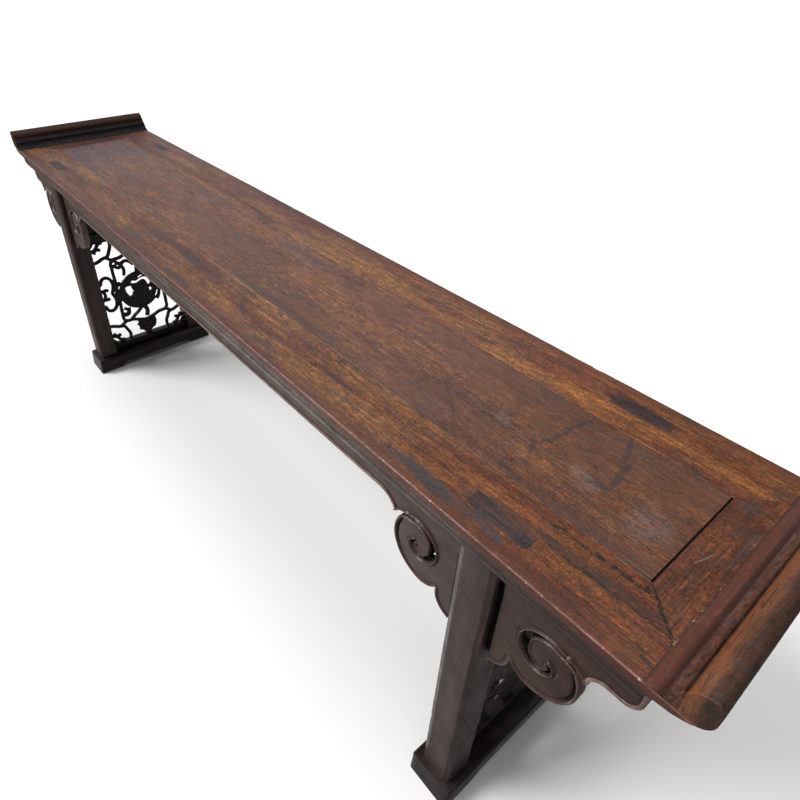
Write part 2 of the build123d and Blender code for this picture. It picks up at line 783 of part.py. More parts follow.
# ---- all pieces ------------------------------------------------------------------------
def build():
    """Name every piece of the table."""
    form = frame_form()
    front = front_rail(form)
    right = end_rail(form)
    lip = flange()
    nodes = {
        "top_panel": panel(),
        "front_top_rail": front,
        "back_top_rail": flip_y(front),
        "right_end_rail": right,
        "left_end_rail": flip_x(right),
        "right_flange": lip,
        "left_flange": flip_x(lip),
    }
    for number, x_centre in enumerate(batten_positions(), start=1):
        nodes[f"panel_batten_{number}"] = batten(x_centre)
    plugs = [plug(x_centre, 0) for x_centre in (leg_x, -leg_x)]
    nodes["mortise_covers"] = Compound(children=plugs + [flip_y(cover) for cover in plugs])
    apron = front_apron()
    nodes["front_apron"] = apron
    nodes["back_apron"] = flip_y(apron)
    board = end_board()
    nodes["right_end_board"] = board
    nodes["left_end_board"] = flip_x(board)
    outer = spandrel()
    inner = mirror(outer, about=Plane.YZ.offset(leg_x))
    post = leg()
    for end, to_end in (("right", lambda part: part), ("left", flip_x)):
        for face, to_face in (("front", lambda part: part), ("back", flip_y)):
            nodes[f"{face}_{end}_leg"] = to_face(to_end(post))
            nodes[f"{face}_{end}_outer_spandrel"] = to_face(to_end(outer))
            nodes[f"{face}_{end}_inner_spandrel"] = to_face(to_end(inner))
    ends = {
        "foot_runner": foot(),
        "lower_stretcher": stretcher(foot_height, lower_stretcher_height),
        "upper_stretcher": stretcher(upper_bottom, upper_stretcher_height),
        "cross_board": cross_board(0),
        "openwork_panel": openwork(),
    }
    for name, piece in ends.items():
        nodes[f"right_{name}"] = piece
        nodes[f"left_{name}"] = flip_x(piece)
    return nodes


os.makedirs("parts", exist_ok=True)
for node, piece in build().items():
    export_step(piece, f"parts/{node}.step")
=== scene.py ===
import json
import math

import bmesh
import bpy
import numpy as np
from mathutils import Matrix, Vector
from mathutils.geometry import delaunay_2d_cdt


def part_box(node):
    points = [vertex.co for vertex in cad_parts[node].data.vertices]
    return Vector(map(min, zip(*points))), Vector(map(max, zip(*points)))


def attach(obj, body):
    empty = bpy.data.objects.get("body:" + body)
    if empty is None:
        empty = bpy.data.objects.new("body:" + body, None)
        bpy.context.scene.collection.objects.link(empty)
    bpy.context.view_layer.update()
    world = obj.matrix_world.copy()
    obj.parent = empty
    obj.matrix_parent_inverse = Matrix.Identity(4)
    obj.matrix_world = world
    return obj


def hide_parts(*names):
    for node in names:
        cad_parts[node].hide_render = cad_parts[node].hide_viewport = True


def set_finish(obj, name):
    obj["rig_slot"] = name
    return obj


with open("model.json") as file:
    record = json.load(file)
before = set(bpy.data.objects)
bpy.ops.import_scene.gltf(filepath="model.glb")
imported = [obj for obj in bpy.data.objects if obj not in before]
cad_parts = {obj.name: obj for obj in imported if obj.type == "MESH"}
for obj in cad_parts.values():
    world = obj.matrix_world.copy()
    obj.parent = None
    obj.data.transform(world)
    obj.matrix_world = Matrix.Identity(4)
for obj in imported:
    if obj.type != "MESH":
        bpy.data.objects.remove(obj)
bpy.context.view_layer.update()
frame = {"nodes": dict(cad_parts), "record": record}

# A long trestle altar table in worn lacquer: a mitred top frame round one panel, raised
# flanges on its ends, slotted legs with cloud-carved spandrels, and an openwork board
# between the legs of each end.  Shapes are drawn in millimetres and kept in metres.
MM = 0.001


def corners(node):
    """Lowest and highest corner of a node of the frame, in millimetres."""
    low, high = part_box(node)
    return np.array(low) / MM, np.array(high) / MM


# ---- sizes read from the frame --------------------------------------------------------
RAIL_LOW, RAIL_HIGH = corners("front_top_rail")
PANEL_LOW, PANEL_HIGH = corners("top_panel")
FLANGE_LOW, FLANGE_HIGH = corners("right_flange")
LEG_LOW, LEG_HIGH = corners("front_right_leg")
APRON_LOW, APRON_HIGH = corners("front_apron")
FOOT_LOW, FOOT_HIGH = corners("right_foot_runner")
STRETCHER_LOW, STRETCHER_HIGH = corners("right_lower_stretcher")
OPENWORK_LOW, OPENWORK_HIGH = corners("right_openwork_panel")
COVER_LOW, COVER_HIGH = corners("mortise_covers")

TOP = RAIL_HIGH[2]
SURFACE = TOP * MM           # the same height in metres, for the finishes
FRAME_LOW = RAIL_LOW[2]
HALF_LENGTH = FLANGE_HIGH[0]
HALF_DEPTH = FLANGE_HIGH[1]
SHELF_EDGE = RAIL_HIGH[0]
OPENING_Y = -RAIL_HIGH[1]
OPENING_X = corners("right_end_rail")[0][0]
LEG_X = (LEG_LOW[0] + LEG_HIGH[0]) / 2
LEG_HALF = (LEG_HIGH[0] - LEG_LOW[0]) / 2
LEG_FRONT = -LEG_LOW[1]
LEG_BACK = -LEG_HIGH[1]
FOOT_TOP = FOOT_HIGH[2]
BOARD_FRONT = -APRON_LOW[1]
APRON_HALF = APRON_HIGH[0]
EDGE_X = APRON_HALF + 2.0    # moulded edge of the ends
TOE_LOW = corners("front_right_outer_spandrel")[0][2]
FIELD_LOW = STRETCHER_HIGH[2]
FIELD_HIGH = corners("right_upper_stretcher")[0][2]

# ---- moulded edges of the top: how far in from the edge, how far below the surface ----
ARRIS = 3.5
BAND_DROP = 16.0
STEP_IN, STEP_DROP = 3.0, 21.0
COVE_IN, COVE_DROP = 8.5, 37.0
ROLL_IN, ROLL_DROP = 13.0, 54.0
UNDER_IN = 16.5
LEDGE = 0.01                 # keeps the two corners of the little step apart
TONGUE_TOP = 11.0            # top of the panel tongue below the surface
TONGUE_REACH = 9.0
MITRE_GAP = 0.25             # each side of the mitre line
PANEL_END_GAP = 3.0
PANEL_SIDE_GAP = 0.6
COVER_LONG, COVER_WIDE = 118.0, 34.0
STATION = 4.0                # between the outlines that a rail or a flange is skinned over

# ---- legs and boards ------------------------------------------------------------------
BOARD_THICK = 18.0
BOARD_BACK = BOARD_FRONT - BOARD_THICK
BEVEL_WIDTH, BEVEL_DEPTH = 11.0, 5.0
FLUTE_WIDTH = 8.8
LAYER_DEPTH = 10.0           # the flute is this much deeper than the face of the board
APRON_DROP, JOINT_DROP = 58.0, 52.0     # lower edge of the apron, upper edge of the spandrel
CUSP_REACH, CUSP_DROP = 202.0, 85.0


# =========================================================================================
# drawing helpers
# =========================================================================================
def arc(start, through, end, steps):
    """Points on the circle through three points, from start to end."""
    (ax, ay), (bx, by), (cx, cy) = start, through, end
    twice = 2 * (ax * (by - cy) + bx * (cy - ay) + cx * (ay - by))
    a, b, c = ax * ax + ay * ay, bx * bx + by * by, cx * cx + cy * cy
    mx = (a * (by - cy) + b * (cy - ay) + c * (ay - by)) / twice
    my = (a * (cx - bx) + b * (ax - cx) + c * (bx - ax)) / twice
    radius = math.hypot(ax - mx, ay - my)
    first, middle, last = (math.atan2(y - my, x - mx) for x, y in (start, through, end))
    turn = (last - first) % math.tau
    if (middle - first) % math.tau > turn:
        turn -= math.tau
    angles = first + turn * np.linspace(0, 1, steps + 1)
    return [(mx + radius * math.cos(t), my + radius * math.sin(t)) for t in angles]


def tangent_arc(start, heading, end, steps):
    """Points on the arc that leaves start along heading and ends at end."""
    start, end = np.array(start), np.array(end)
    run = end - start
    side = np.array([-heading[1], heading[0]], float)
    if run @ side < 0:
        side = -side
    radius = (run @ run) / (2 * (run @ side))
    centre = start + side * radius
    a0 = start - centre
    a1 = end - centre
    turn = math.atan2(a0[0] * a1[1] - a0[1] * a1[0], a0 @ a1)
    points = []
    for share in np.linspace(0, 1, steps + 1):
        c, s = math.cos(turn * share), math.sin(turn * share)
        points.append((centre[0] + c * a0[0] - s * a0[1], centre[1] + s * a0[0] + c * a0[1]))
    return points


def divided(points, step, closed=True):
    """The same outline with every straight run cut into parts no longer than step."""
    result = []
    count = len(points)
    for index in range(count if closed else count - 1):
        a = np.array(points[index], float)
        b = np.array(points[(index + 1) % count], float)
        parts = max(1, math.ceil(np.linalg.norm(b - a) / step))
        result += [tuple(a + (b - a) * k / parts) for k in range(parts)]
    if not closed:
        result.append(tuple(points[-1]))
    return result


def chamfered(points, size):
    """A closed outline with its corners cut off."""
    result = []
    count = len(points)
    for index in range(count):
        here = np.array(points[index], float)
        for other in (points[index - 1], points[(index + 1) % count]):
            run = np.array(other, float) - here
            length = np.linalg.norm(run)
            result.append(tuple(here + run / length * min(size, 0.45 * length)))
    return result


def turning(ring):
    """Twice the signed area of a closed outline: positive when it runs anticlockwise."""
    x, y = np.array(ring, float).T
    return float(np.sum(x * np.roll(y, -1) - y * np.roll(x, -1)))


def inset(ring, distance):
    """A closed outline moved inwards by distance."""
    points = np.array(ring, float)
    ahead = np.roll(points, -1, 0) - points
    ahead /= np.maximum(np.linalg.norm(ahead, axis=1, keepdims=True), 1e-9)
    behind = np.roll(ahead, 1, 0)
    normal = np.stack([-(ahead + behind)[:, 1], (ahead + behind)[:, 0]], 1)
    normal /= np.maximum(np.linalg.norm(normal, axis=1, keepdims=True), 1e-9)
    spread = np.maximum(normal[:, 0] * -ahead[:, 1] + normal[:, 1] * ahead[:, 0], 0.5)
    sign = 1 if turning(ring) > 0 else -1
    return points + sign * normal * (distance / spread)[:, None]


def ripple(points, size, seed):
    """Smooth random field between -1 and 1 with features of the given size."""
    table = np.random.default_rng(seed).uniform(-1, 1, (32, 32, 32))
    place = np.asarray(points, float) / np.asarray(size, float) + 100.5
    cell = np.floor(place).astype(int)
    share = place - cell
    share = share * share * (3 - 2 * share)
    total = np.zeros(len(place))
    for corner in range(8):
        step = np.array([corner & 1, corner >> 1 & 1, corner >> 2 & 1])
        weight = np.prod(np.where(step, share, 1 - share), axis=1)
        i, j, k = ((cell + step) % 32).T
        total += weight * table[i, j, k]
    return total


def smooth(low, high, value):
    """0 below low, 1 above high, and a soft step between."""
    t = np.clip((np.asarray(value, float) - low) / (high - low), 0, 1)
    return t * t * (3 - 2 * t)


# =========================================================================================
# objects and meshes
# =========================================================================================
def linked(name, data):
    """A new object, put into the scene."""
    item = bpy.data.objects.new(name, data)
    bpy.context.scene.collection.objects.link(item)
    return item


def thrown_away(piece):
    """Take a piece and its mesh out of the file."""
    mesh = piece.data
    bpy.data.objects.remove(piece)
    bpy.data.meshes.remove(mesh)


def gathered(items, field, width, kind=float):
    """One field of every vertex or edge of a mesh, as rows."""
    values = np.zeros(len(items) * width, kind)
    items.foreach_get(field, values)
    return values.reshape(-1, width)


def cut_up(bm, face):
    """Replace a flat face with many corners by triangles."""
    verts = list(face.verts)
    normal = face.normal.normalized()
    across = normal.orthogonal().normalized()
    flat = [Vector((v.co @ across, v.co @ normal.cross(across))) / MM for v in verts]
    loop = list(range(len(verts)))
    triangles = delaunay_2d_cdt(flat, [], [loop], 1, 1e-6)[2]
    if len(triangles) != len(verts) - 2 or max(map(max, triangles)) >= len(verts):
        bmesh.ops.triangulate(bm, faces=[face], ngon_method="EAR_CLIP")
        return
    for triangle in triangles:
        three = [verts[k] for k in triangle]
        if bm.faces.get(three) is None:
            bm.faces.new(three)
    bm.faces.remove(face)


def finish_mesh(mesh, crease=36):
    """Merge doubles, cut big faces up, turn faces outwards and mark the sharp edges."""
    bm = bmesh.new()
    bm.from_mesh(mesh)
    bmesh.ops.remove_doubles(bm, verts=bm.verts, dist=2e-6)
    bmesh.ops.dissolve_degenerate(bm, edges=bm.edges, dist=1e-7)
    for face in [face for face in bm.faces if len(face.verts) > 4]:
        cut_up(bm, face)
    bmesh.ops.recalc_face_normals(bm, faces=bm.faces)
    limit = math.radians(crease)
    for edge in bm.edges:
        edge.smooth = len(edge.link_faces) == 2 and edge.calc_face_angle(0) < limit
    for face in bm.faces:
        face.smooth = True
    bm.to_mesh(mesh)
    bm.free()
    mesh.update()


def piece_of(name, points, faces, crease=36):
    """A new piece from points in millimetres."""
    mesh = bpy.data.meshes.new(name)
    mesh.from_pydata((np.asarray(points, float) * MM).tolist(), [], faces)
    finish_mesh(mesh, crease)
    return linked(name, mesh)


def skin(rows, caps=True):
    """Faces that join rows of equally many points into a tube, with flat ends."""
    count = len(rows[0])
    points = np.concatenate([np.asarray(row, float) for row in rows])
    faces = []
    for r in range(len(rows) - 1):
        a, b = r * count, (r + 1) * count
        for k in range(count):
            n = (k + 1) % count
            faces.append((a + k, a + n, b + n, b + k))
    if caps:
        faces.append(tuple(range(count)))
        faces.append(tuple(range(len(points) - 1, len(points) - 1 - count, -1)))
    return points, faces


def eased_ends(low, high, radius, step):
    """Places along a piece and how far its outline is drawn in there, for rounded ends."""
    ease = [(0.0, radius + 0.8), (0.0, radius), (0.134 * radius, 0.5 * radius),
            (0.5 * radius, 0.134 * radius), (radius, 0.0)]
    inner = high - low - 2 * radius
    parts = max(1, round(inner / step))
    run = [(low + depth, draw_in) for depth, draw_in in ease]
    run += [(low + radius + inner * k / parts, 0.0) for k in range(1, parts)]
    return run + [(high - depth, draw_in) for depth, draw_in in ease[::-1]]


def bar(name, ring, axis, low, high, radius, step, wear=None, crease=36):
    """Carry an outline along an axis between two places, with rounded ends."""
    rows = []
    for place, draw_in in eased_ends(low, high, radius, step):
        flat = inset(ring, draw_in) if draw_in else np.array(ring, float)
        rows.append(np.insert(flat, axis, place, axis=1))
    points, faces = skin(rows)
    if wear:
        points = wear(points)
    return piece_of(name, points, faces, crease)


def eased_box(low, high, step, radius):
    """Points and faces of a box with rounded edges, its sides divided by step."""
    low, high = np.asarray(low, float), np.asarray(high, float)
    lines = []
    for a, b, size in zip(low, high, np.broadcast_to(step, 3)):
        parts = max(1, round((b - a - 2 * radius) / size))
        inner = [a + radius + (b - a - 2 * radius) * k / parts for k in range(parts + 1)]
        close = 0.1 * min(inner[1] - inner[0], 8.0)
        inner = [inner[0], inner[0] + close, *inner[1:-1], inner[-1] - close, inner[-1]]
        lines.append(np.array([a, a + 0.35 * radius, *inner, b - 0.35 * radius, b]))
    points = []
    faces = []
    for axis in range(3):
        across, up = [k for k in range(3) if k != axis]
        for place in (low[axis], high[axis]):
            u, v = np.meshgrid(lines[across], lines[up], indexing="ij")
            sheet = np.zeros((u.size, 3))
            sheet[:, axis] = place
            sheet[:, across] = u.ravel()
            sheet[:, up] = v.ravel()
            first = sum(len(p) for p in points)
            points.append(sheet)
            wide = len(lines[up])
            for i in range(len(lines[across]) - 1):
                for j in range(wide - 1):
                    k = first + i * wide + j
                    faces.append((k, k + 1, k + wide + 1, k + wide))
    points = np.concatenate(points)
    core = np.clip(points, low + radius, high - radius)
    out = points - core
    length = np.linalg.norm(out, axis=1, keepdims=True)
    moved = core + out / np.maximum(length, 1e-9) * radius
    return np.where(length > 1e-9, moved, points), faces


def mirrored(piece, name, across_x=False, across_y=False, about=0.0):
    """A copy of a piece, mirrored across X about a place and across Y, and turned outwards again."""
    mesh = piece.data.copy()
    mesh.name = name
    flip = Matrix.Diagonal((-1 if across_x else 1, -1 if across_y else 1, 1, 1))
    mesh.transform(Matrix.Translation((2 * about * MM, 0, 0)) @ flip)
    if across_x != across_y:
        mesh.flip_normals()
    return linked(name, mesh)


def joined(name, pieces):
    """One piece from several meshes, as loose parts of it."""
    bm = bmesh.new()
    for piece in pieces:
        bm.from_mesh(piece.data)
        thrown_away(piece)
    mesh = bpy.data.meshes.new(name)
    bm.to_mesh(mesh)
    bm.free()
    return linked(name, mesh)


def baked(piece):
    """Apply a piece's modifiers, leaving it a plain mesh."""
    bpy.context.view_layer.update()
    graph = bpy.context.evaluated_depsgraph_get()
    mesh = bpy.data.meshes.new_from_object(piece.evaluated_get(graph), depsgraph=graph)
    if piece.type == "MESH":
        piece.modifiers.clear()
        piece.data = mesh
        return piece
    name = piece.name
    bpy.data.objects.remove(piece)
    mesh.name = name
    return linked(name, mesh)


def difference(piece, cutter):
    """Cut one piece out of another."""
    modifier = piece.modifiers.new("cut", "BOOLEAN")
    modifier.operation = "DIFFERENCE"
    modifier.solver = "EXACT"
    modifier.use_self = True
    modifier.object = cutter
    baked(piece)
    thrown_away(cutter)
    return piece


def mark_rubbing_and_shade(piece, size, recess=0.0, crest=0.0):
    """Store on every point how much it stands out from or lies below its neighbours."""
    mesh = piece.data
    count = len(mesh.vertices)
    place = gathered(mesh.vertices, "co", 3)
    normal = gathered(mesh.vertices, "normal", 3)
    a, b = gathered(mesh.edges, "vertices", 2, int).T
    run = place[b] - place[a]
    length = np.maximum(np.linalg.norm(run, axis=1), 1e-7)
    bend = np.zeros(count)
    weight = np.zeros(count)
    for tail, sign in ((a, 1), (b, -1)):
        rise = sign * np.einsum("ij,ij->i", run, normal[tail]) / length
        np.add.at(bend, tail, rise)
        np.add.at(weight, tail, 1)
    bend /= np.maximum(weight, 1)
    for _ in range(2):
        spread = np.zeros(count)
        np.add.at(spread, a, bend[b])
        np.add.at(spread, b, bend[a])
        bend = 0.5 * bend + 0.5 * spread / np.maximum(weight, 1)
    # the finishes paint what stands out lighter, partly rubbed lacquer and partly a painted highlight, and
    # what lies below black, as painted shade in the hollows
    for name, value in (("rubbed_and_lit", np.maximum(-bend * size, crest)),
                        ("sunk_shade", np.maximum(bend * size, recess))):
        layer = mesh.attributes.new(name, "FLOAT", "POINT")
        layer.data.foreach_set("value", np.clip(value, 0, 1).astype(np.float32))


# =========================================================================================
# nodes
# =========================================================================================
def add_node(tree, kind, inputs=None, **settings):
    """A node with its settings; each input takes another node's socket or holds a value."""
    node = tree.nodes.new(kind)
    for key, value in settings.items():
        setattr(node, key, value)
    for key, value in (inputs or {}).items():
        if isinstance(value, bpy.types.NodeSocket):
            tree.links.new(value, node.inputs[key])
        else:
            node.inputs[key].default_value = value
    return node


def add_ramp(tree, share, stops):
    """A colour ramp over a share, from places and colours."""
    node = add_node(tree, "ShaderNodeValToRGB", {0: share})
    points = node.color_ramp.elements
    while len(points) < len(stops):
        points.new(0.5)
    for point, (place, colour) in zip(points, stops):
        point.position = place
        point.color = (*colour, 1.0)
    return node.outputs[0]


# =========================================================================================
# a carved strand that follows a drawn line, made with Geometry Nodes
# =========================================================================================
def strand_tree():
    """Sweep a strip with rounded corners along each line, with tapered tips."""
    tree = bpy.data.node_groups.new("carved_strand", "GeometryNodeTree")
    for label, kind in (("Lines", "Geometry"), ("Width", "Float"), ("Depth", "Float"),
                        ("Spacing", "Float"), ("Taper", "Float"), ("Facing", "Vector")):
        tree.interface.new_socket(label, in_out="INPUT", socket_type=f"NodeSocket{kind}")
    tree.interface.new_socket("Strands", in_out="OUTPUT", socket_type="NodeSocketGeometry")

    def add(kind, inputs=None, **settings):
        return add_node(tree, kind, inputs, **settings).outputs

    given = add("NodeGroupInput")
    even = add("GeometryNodeResampleCurve", {"Curve": given["Lines"], "Length": given["Spacing"]},
               mode="LENGTH")
    facing = add("GeometryNodeSetCurveNormal", {"Curve": even[0], "Normal": given["Facing"]}, mode="FREE")
    along = add("GeometryNodeSplineParameter")["Length"]
    total = add("GeometryNodeSplineLength")["Length"]
    left = add("ShaderNodeMath", {0: total, 1: along}, operation="SUBTRACT")
    nearest = add("ShaderNodeMath", {0: along, 1: left[0]}, operation="MINIMUM")
    tip = add("ShaderNodeMapRange", {"Value": nearest[0], "From Max": given["Taper"], "To Min": 0.45},
              interpolation_type="SMOOTHSTEP")
    radius = add("GeometryNodeSetCurveRadius", {"Curve": facing[0], "Radius": tip["Result"]})
    strip = add("GeometryNodeCurvePrimitiveQuadrilateral",
                {"Width": given["Depth"], "Height": given["Width"]})
    easing = add("ShaderNodeMath", {0: given["Width"], 1: 0.34}, operation="MULTIPLY")
    shaped = add("GeometryNodeFilletCurve", {"Curve": strip["Curve"], "Radius": easing[0], "Count": 3,
                                             "Limit Radius": True}, mode="POLY")
    sweep = add("GeometryNodeCurveToMesh", {"Curve": radius[0], "Profile Curve": shaped[0],
                                            "Fill Caps": True})
    real = add("GeometryNodeRealizeInstances", {0: sweep[0]})
    # the finish stays open here, since dress gives it to the whole piece
    paint = add("GeometryNodeSetMaterial", {"Geometry": real[0]})
    add("NodeGroupOutput", {0: paint[0]})
    return tree


STRAND_TREE = strand_tree()


def strands(name, lines, width, depth, facing, spacing=3.0, taper=14.0):
    """Carved strands along drawn lines; sizes in millimetres, lines as 3-D points."""
    curve = bpy.data.curves.new(name, "CURVE")
    curve.dimensions = "3D"
    curve.resolution_u = 10
    for line in lines:
        spline = curve.splines.new("BEZIER")
        spline.bezier_points.add(len(line) - 1)
        for point, place in zip(spline.bezier_points, line):
            point.co = Vector(place) * MM
            point.handle_left_type = point.handle_right_type = "AUTO"
    piece = linked(name, curve)
    modifier = piece.modifiers.new("strand", "NODES")
    modifier.node_group = STRAND_TREE
    values = {"Width": width * MM, "Depth": depth * MM, "Spacing": spacing * MM,
              "Taper": taper * MM, "Facing": facing}
    for item in STRAND_TREE.interface.items_tree:
        if item.name in values:
            modifier[item.identifier] = values[item.name]
    return baked(piece)


# =========================================================================================
# the top: long rails, end rails, panel, covers and flanges
# =========================================================================================
def moulding(edge):
    """Outline below the upper band of a moulded edge, from the band down to the underside."""
    step = (edge - STEP_IN, TOP - STEP_DROP)
    hollow_end = (edge - COVE_IN, TOP - COVE_DROP)
    hollow = (edge - COVE_IN + 1, (step[1] + hollow_end[1]) / 2)
    roll_end = (edge - ROLL_IN, TOP - ROLL_DROP)
    roll = (edge - COVE_IN - 0.8, (hollow_end[1] + roll_end[1]) / 2)
    return [
        (edge - STEP_IN, TOP - BAND_DROP - LEDGE),
        step,
        *arc(step, hollow, hollow_end, 6)[1:],
        *arc(hollow_end, roll, roll_end, 6)[1:],
        (edge - UNDER_IN, FRAME_LOW),
    ]


def shelf_profile():
    """Tapered end of the frame under the flange, from the surface down to the moulding."""
    through = (EDGE_X + (SHELF_EDGE - EDGE_X) * 0.56, TOP - 11.2)
    return arc((SHELF_EDGE, TOP), through, (EDGE_X, TOP - BAND_DROP), 8)


def end_reach(height):
    """How far the end of the frame reaches along X at a height."""
    x, z = np.array(shelf_profile() + moulding(EDGE_X)).T
    return np.interp(height, z[::-1], x[::-1])


def groove_side(edge, levels):
    """Inner side of a rail from the bottom up, with the groove for the panel tongue."""
    groove_low, groove_high = PANEL_LOW[2], TOP - TONGUE_TOP + 0.3
    deep = edge + TONGUE_REACH + 1
    side = []
    for z in sorted({round(float(level), 4) for level in levels} | {groove_low, groove_high}):
        if z == groove_low:
            side += [(edge, z), (deep, z)]
        elif z == groove_high:
            side += [(deep, z), (edge, z)]
        else:
            side.append((deep if groove_low < z < groove_high else edge, z))
    return side


def settle(points, drops, depth, least, waves, seed):
    """Sink a worn top in gentle hollows, from nothing at the first drop to all at the second."""
    hollow = depth
    for number, (height, size) in enumerate(waves):
        hollow = hollow + height * ripple(points, size, seed + number)
    upper = smooth(TOP - drops[0], TOP - drops[1], points[:, 2])
    points[:, 2] -= upper * np.maximum(hollow, least)


def rail_wear(points, edge_y, seed):
    """Gentle hollows in the top, and nicks along the rounded outer edge."""
    moved = points.copy()
    settle(moved, (6, 1), 0.45, 0.12, ((0.25, (150, 60, 400)), (0.12, (40, 14, 400))), seed)
    flat = points * (1, 0, 0)
    for size, level, depth, shift in ((34, 0.52, 6.0, 2), (13, 0.6, 3.4, 3), (90, 0.35, 1.6, 4)):
        nick = np.maximum(ripple(flat, size, seed + shift) - level, 0) * depth
        off = np.hypot(np.abs(points[:, 1]) - edge_y, points[:, 2] - TOP)
        near = nick * (1 - smooth(2, 8, off))
        moved[:, 2] -= near * 0.8
        moved[:, 1] -= np.sign(points[:, 1]) * near * 0.8
    band = (np.abs(points[:, 1]) > edge_y - 12) & (points[:, 2] < TOP - 3)
    waver = 0.25 + 0.25 * ripple(points, (60, 400, 12), seed + 5)
    moved[:, 1] -= np.where(band, np.sign(points[:, 1]) * waver, 0)
    return moved


def cut_mitre(bm, end, side, keep_long):
    """Cut at a mitre plane and close the cut; end and side are the signs of X and Y."""
    outward = Vector((end, -side, 0)).normalized()
    offset = (OPENING_X - OPENING_Y) / math.sqrt(2) * MM
    gap = MITRE_GAP * MM
    distance = offset - gap if keep_long else offset + gap
    bmesh.ops.bisect_plane(
        bm, geom=bm.verts[:] + bm.edges[:] + bm.faces[:], plane_co=outward * distance,
        plane_no=outward, clear_outer=keep_long, clear_inner=not keep_long, dist=1e-7,
    )
    bmesh.ops.edgenet_fill(bm, edges=[edge for edge in bm.edges if edge.is_boundary])
    bm.normal_update()


def mitred(rail, mitres, keep_long):
    """Cut a rail at its mitres, each given by the signs of its X and Y."""
    bm = bmesh.new()
    bm.from_mesh(rail.data)
    for end, side in mitres:
        cut_mitre(bm, end, side, keep_long)
    bm.to_mesh(rail.data)
    bm.free()
    finish_mesh(rail.data)
    return rail


def long_rail():
    """Front rail: moulded outside, grooved inside, mitred at both ends."""
    corner = ARRIS * (1 - math.sqrt(0.5))
    outer = arc((HALF_DEPTH - ARRIS, TOP), (HALF_DEPTH - corner, TOP - corner),
                (HALF_DEPTH, TOP - ARRIS), 6)
    outer += [(HALF_DEPTH, TOP - drop) for drop in (ARRIS + 1, 8, 12, BAND_DROP)]
    outer += moulding(HALF_DEPTH)
    inner = groove_side(OPENING_Y, [z for _, z in outer])
    top_run = [(y, TOP) for y in np.linspace(OPENING_Y, HALF_DEPTH - ARRIS, 18)[1:-1]]
    top_run = [(OPENING_Y + 1.0, TOP), *top_run, (HALF_DEPTH - ARRIS - 1.2, TOP)]
    ring = np.array(outer + inner + top_run)
    straight = EDGE_X - UNDER_IN - 8
    beyond = end_reach(ring[:, 1]) - straight
    shares = np.linspace(0, 1, 12)[1:]
    places = [-straight - beyond * share for share in shares[::-1]]
    places += [np.full(len(ring), x)
               for x in np.linspace(-straight, straight, round(2 * straight / STATION) + 1)]
    places += [straight + beyond * share for share in shares]
    rows = [np.column_stack([x, -ring[:, 0], ring[:, 1]]) for x in places]
    points, faces = skin(rows, caps=False)
    # each end is closed by level strips, because its outline isn't flat
    first_inner, first_top = len(outer), len(outer) + len(inner)
    for first in (0, len(points) - len(ring)):
        for k in range(first_inner - 1):
            high, low = outer[k][1], outer[k + 1][1]
            strip = [k, k + 1]
            strip += [i for i in range(first_inner, first_top) if low - 1e-3 <= ring[i, 1] <= high + 1e-3]
            if k == 0:
                strip += list(range(first_top, len(ring)))
            faces.append(tuple(first + i for i in strip))
    rail = piece_of("front_rail", rail_wear(points, HALF_DEPTH, 11), faces)
    return mitred(rail, ((1, -1), (-1, -1)), True)


def end_rail():
    """Right-hand end rail between the mitres, with the shelf under the flange."""
    outer = shelf_profile() + moulding(EDGE_X)
    inner = groove_side(OPENING_X, [TOP, FRAME_LOW])
    inner[-1] = (OPENING_X + 0.4, TOP)
    inner.insert(-1, (OPENING_X, TOP - 0.6))
    top_run = [(x, TOP) for x in np.linspace(OPENING_X, SHELF_EDGE, 18)[1:-1]]
    ring = np.array(outer + inner + top_run)
    rows = []
    for y in np.linspace(-HALF_DEPTH, HALF_DEPTH, round(2 * HALF_DEPTH / STATION) + 1):
        rows.append(np.insert(ring, 1, y, axis=1))
    points, faces = skin(rows)
    settle(points, (3, 0.5), 0.5, 0.12, ((0.25, (40, 120, 400)), (0.1, (12, 40, 400))), 31)
    return mitred(piece_of("right_end_rail_worn", points, faces), ((1, -1), (1, 1)), False)


def top_board():
    """The wide panel with its tongue all round."""
    edge_x = OPENING_X - PANEL_END_GAP
    edge_y = OPENING_Y - PANEL_SIDE_GAP
    low = (-edge_x, -edge_y, PANEL_LOW[2])
    high = (edge_x, edge_y, TOP - 0.05)
    points, faces = eased_box(low, high, (7, 6, 9), 0.8)
    settle(points, (4, 1.2), 0.4, 0.1, ((0.3, (220, 50, 400)), (0.12, (60, 12, 400))), 41)
    board = piece_of("panel_board", points, faces)
    tongue_high = (PANEL_HIGH[0], PANEL_HIGH[1], TOP - TONGUE_TOP)
    tongue = piece_of("panel_tongue", *eased_box(PANEL_LOW, tongue_high, (120, 60, 7), 0.5))
    return joined("worn_top_panel", [board, tongue])


def mortise_cover(end, side, number):
    """One inlaid cover, a hair proud of the worn rail round it."""
    low = (COVER_HIGH[0] - COVER_LONG, COVER_HIGH[1] - COVER_WIDE, COVER_LOW[2])
    high = (COVER_HIGH[0], COVER_HIGH[1], COVER_HIGH[2] - 0.06)
    points, faces = eased_box(low, high, (4, 4, 4.5), 0.5)
    settle(points, (2, 0.6), 0.12, 0, ((0.1, (18, 6, 200)),), 50 + number)
    points *= (end, side, 1)
    return piece_of(f"cover_{number}", points, faces)


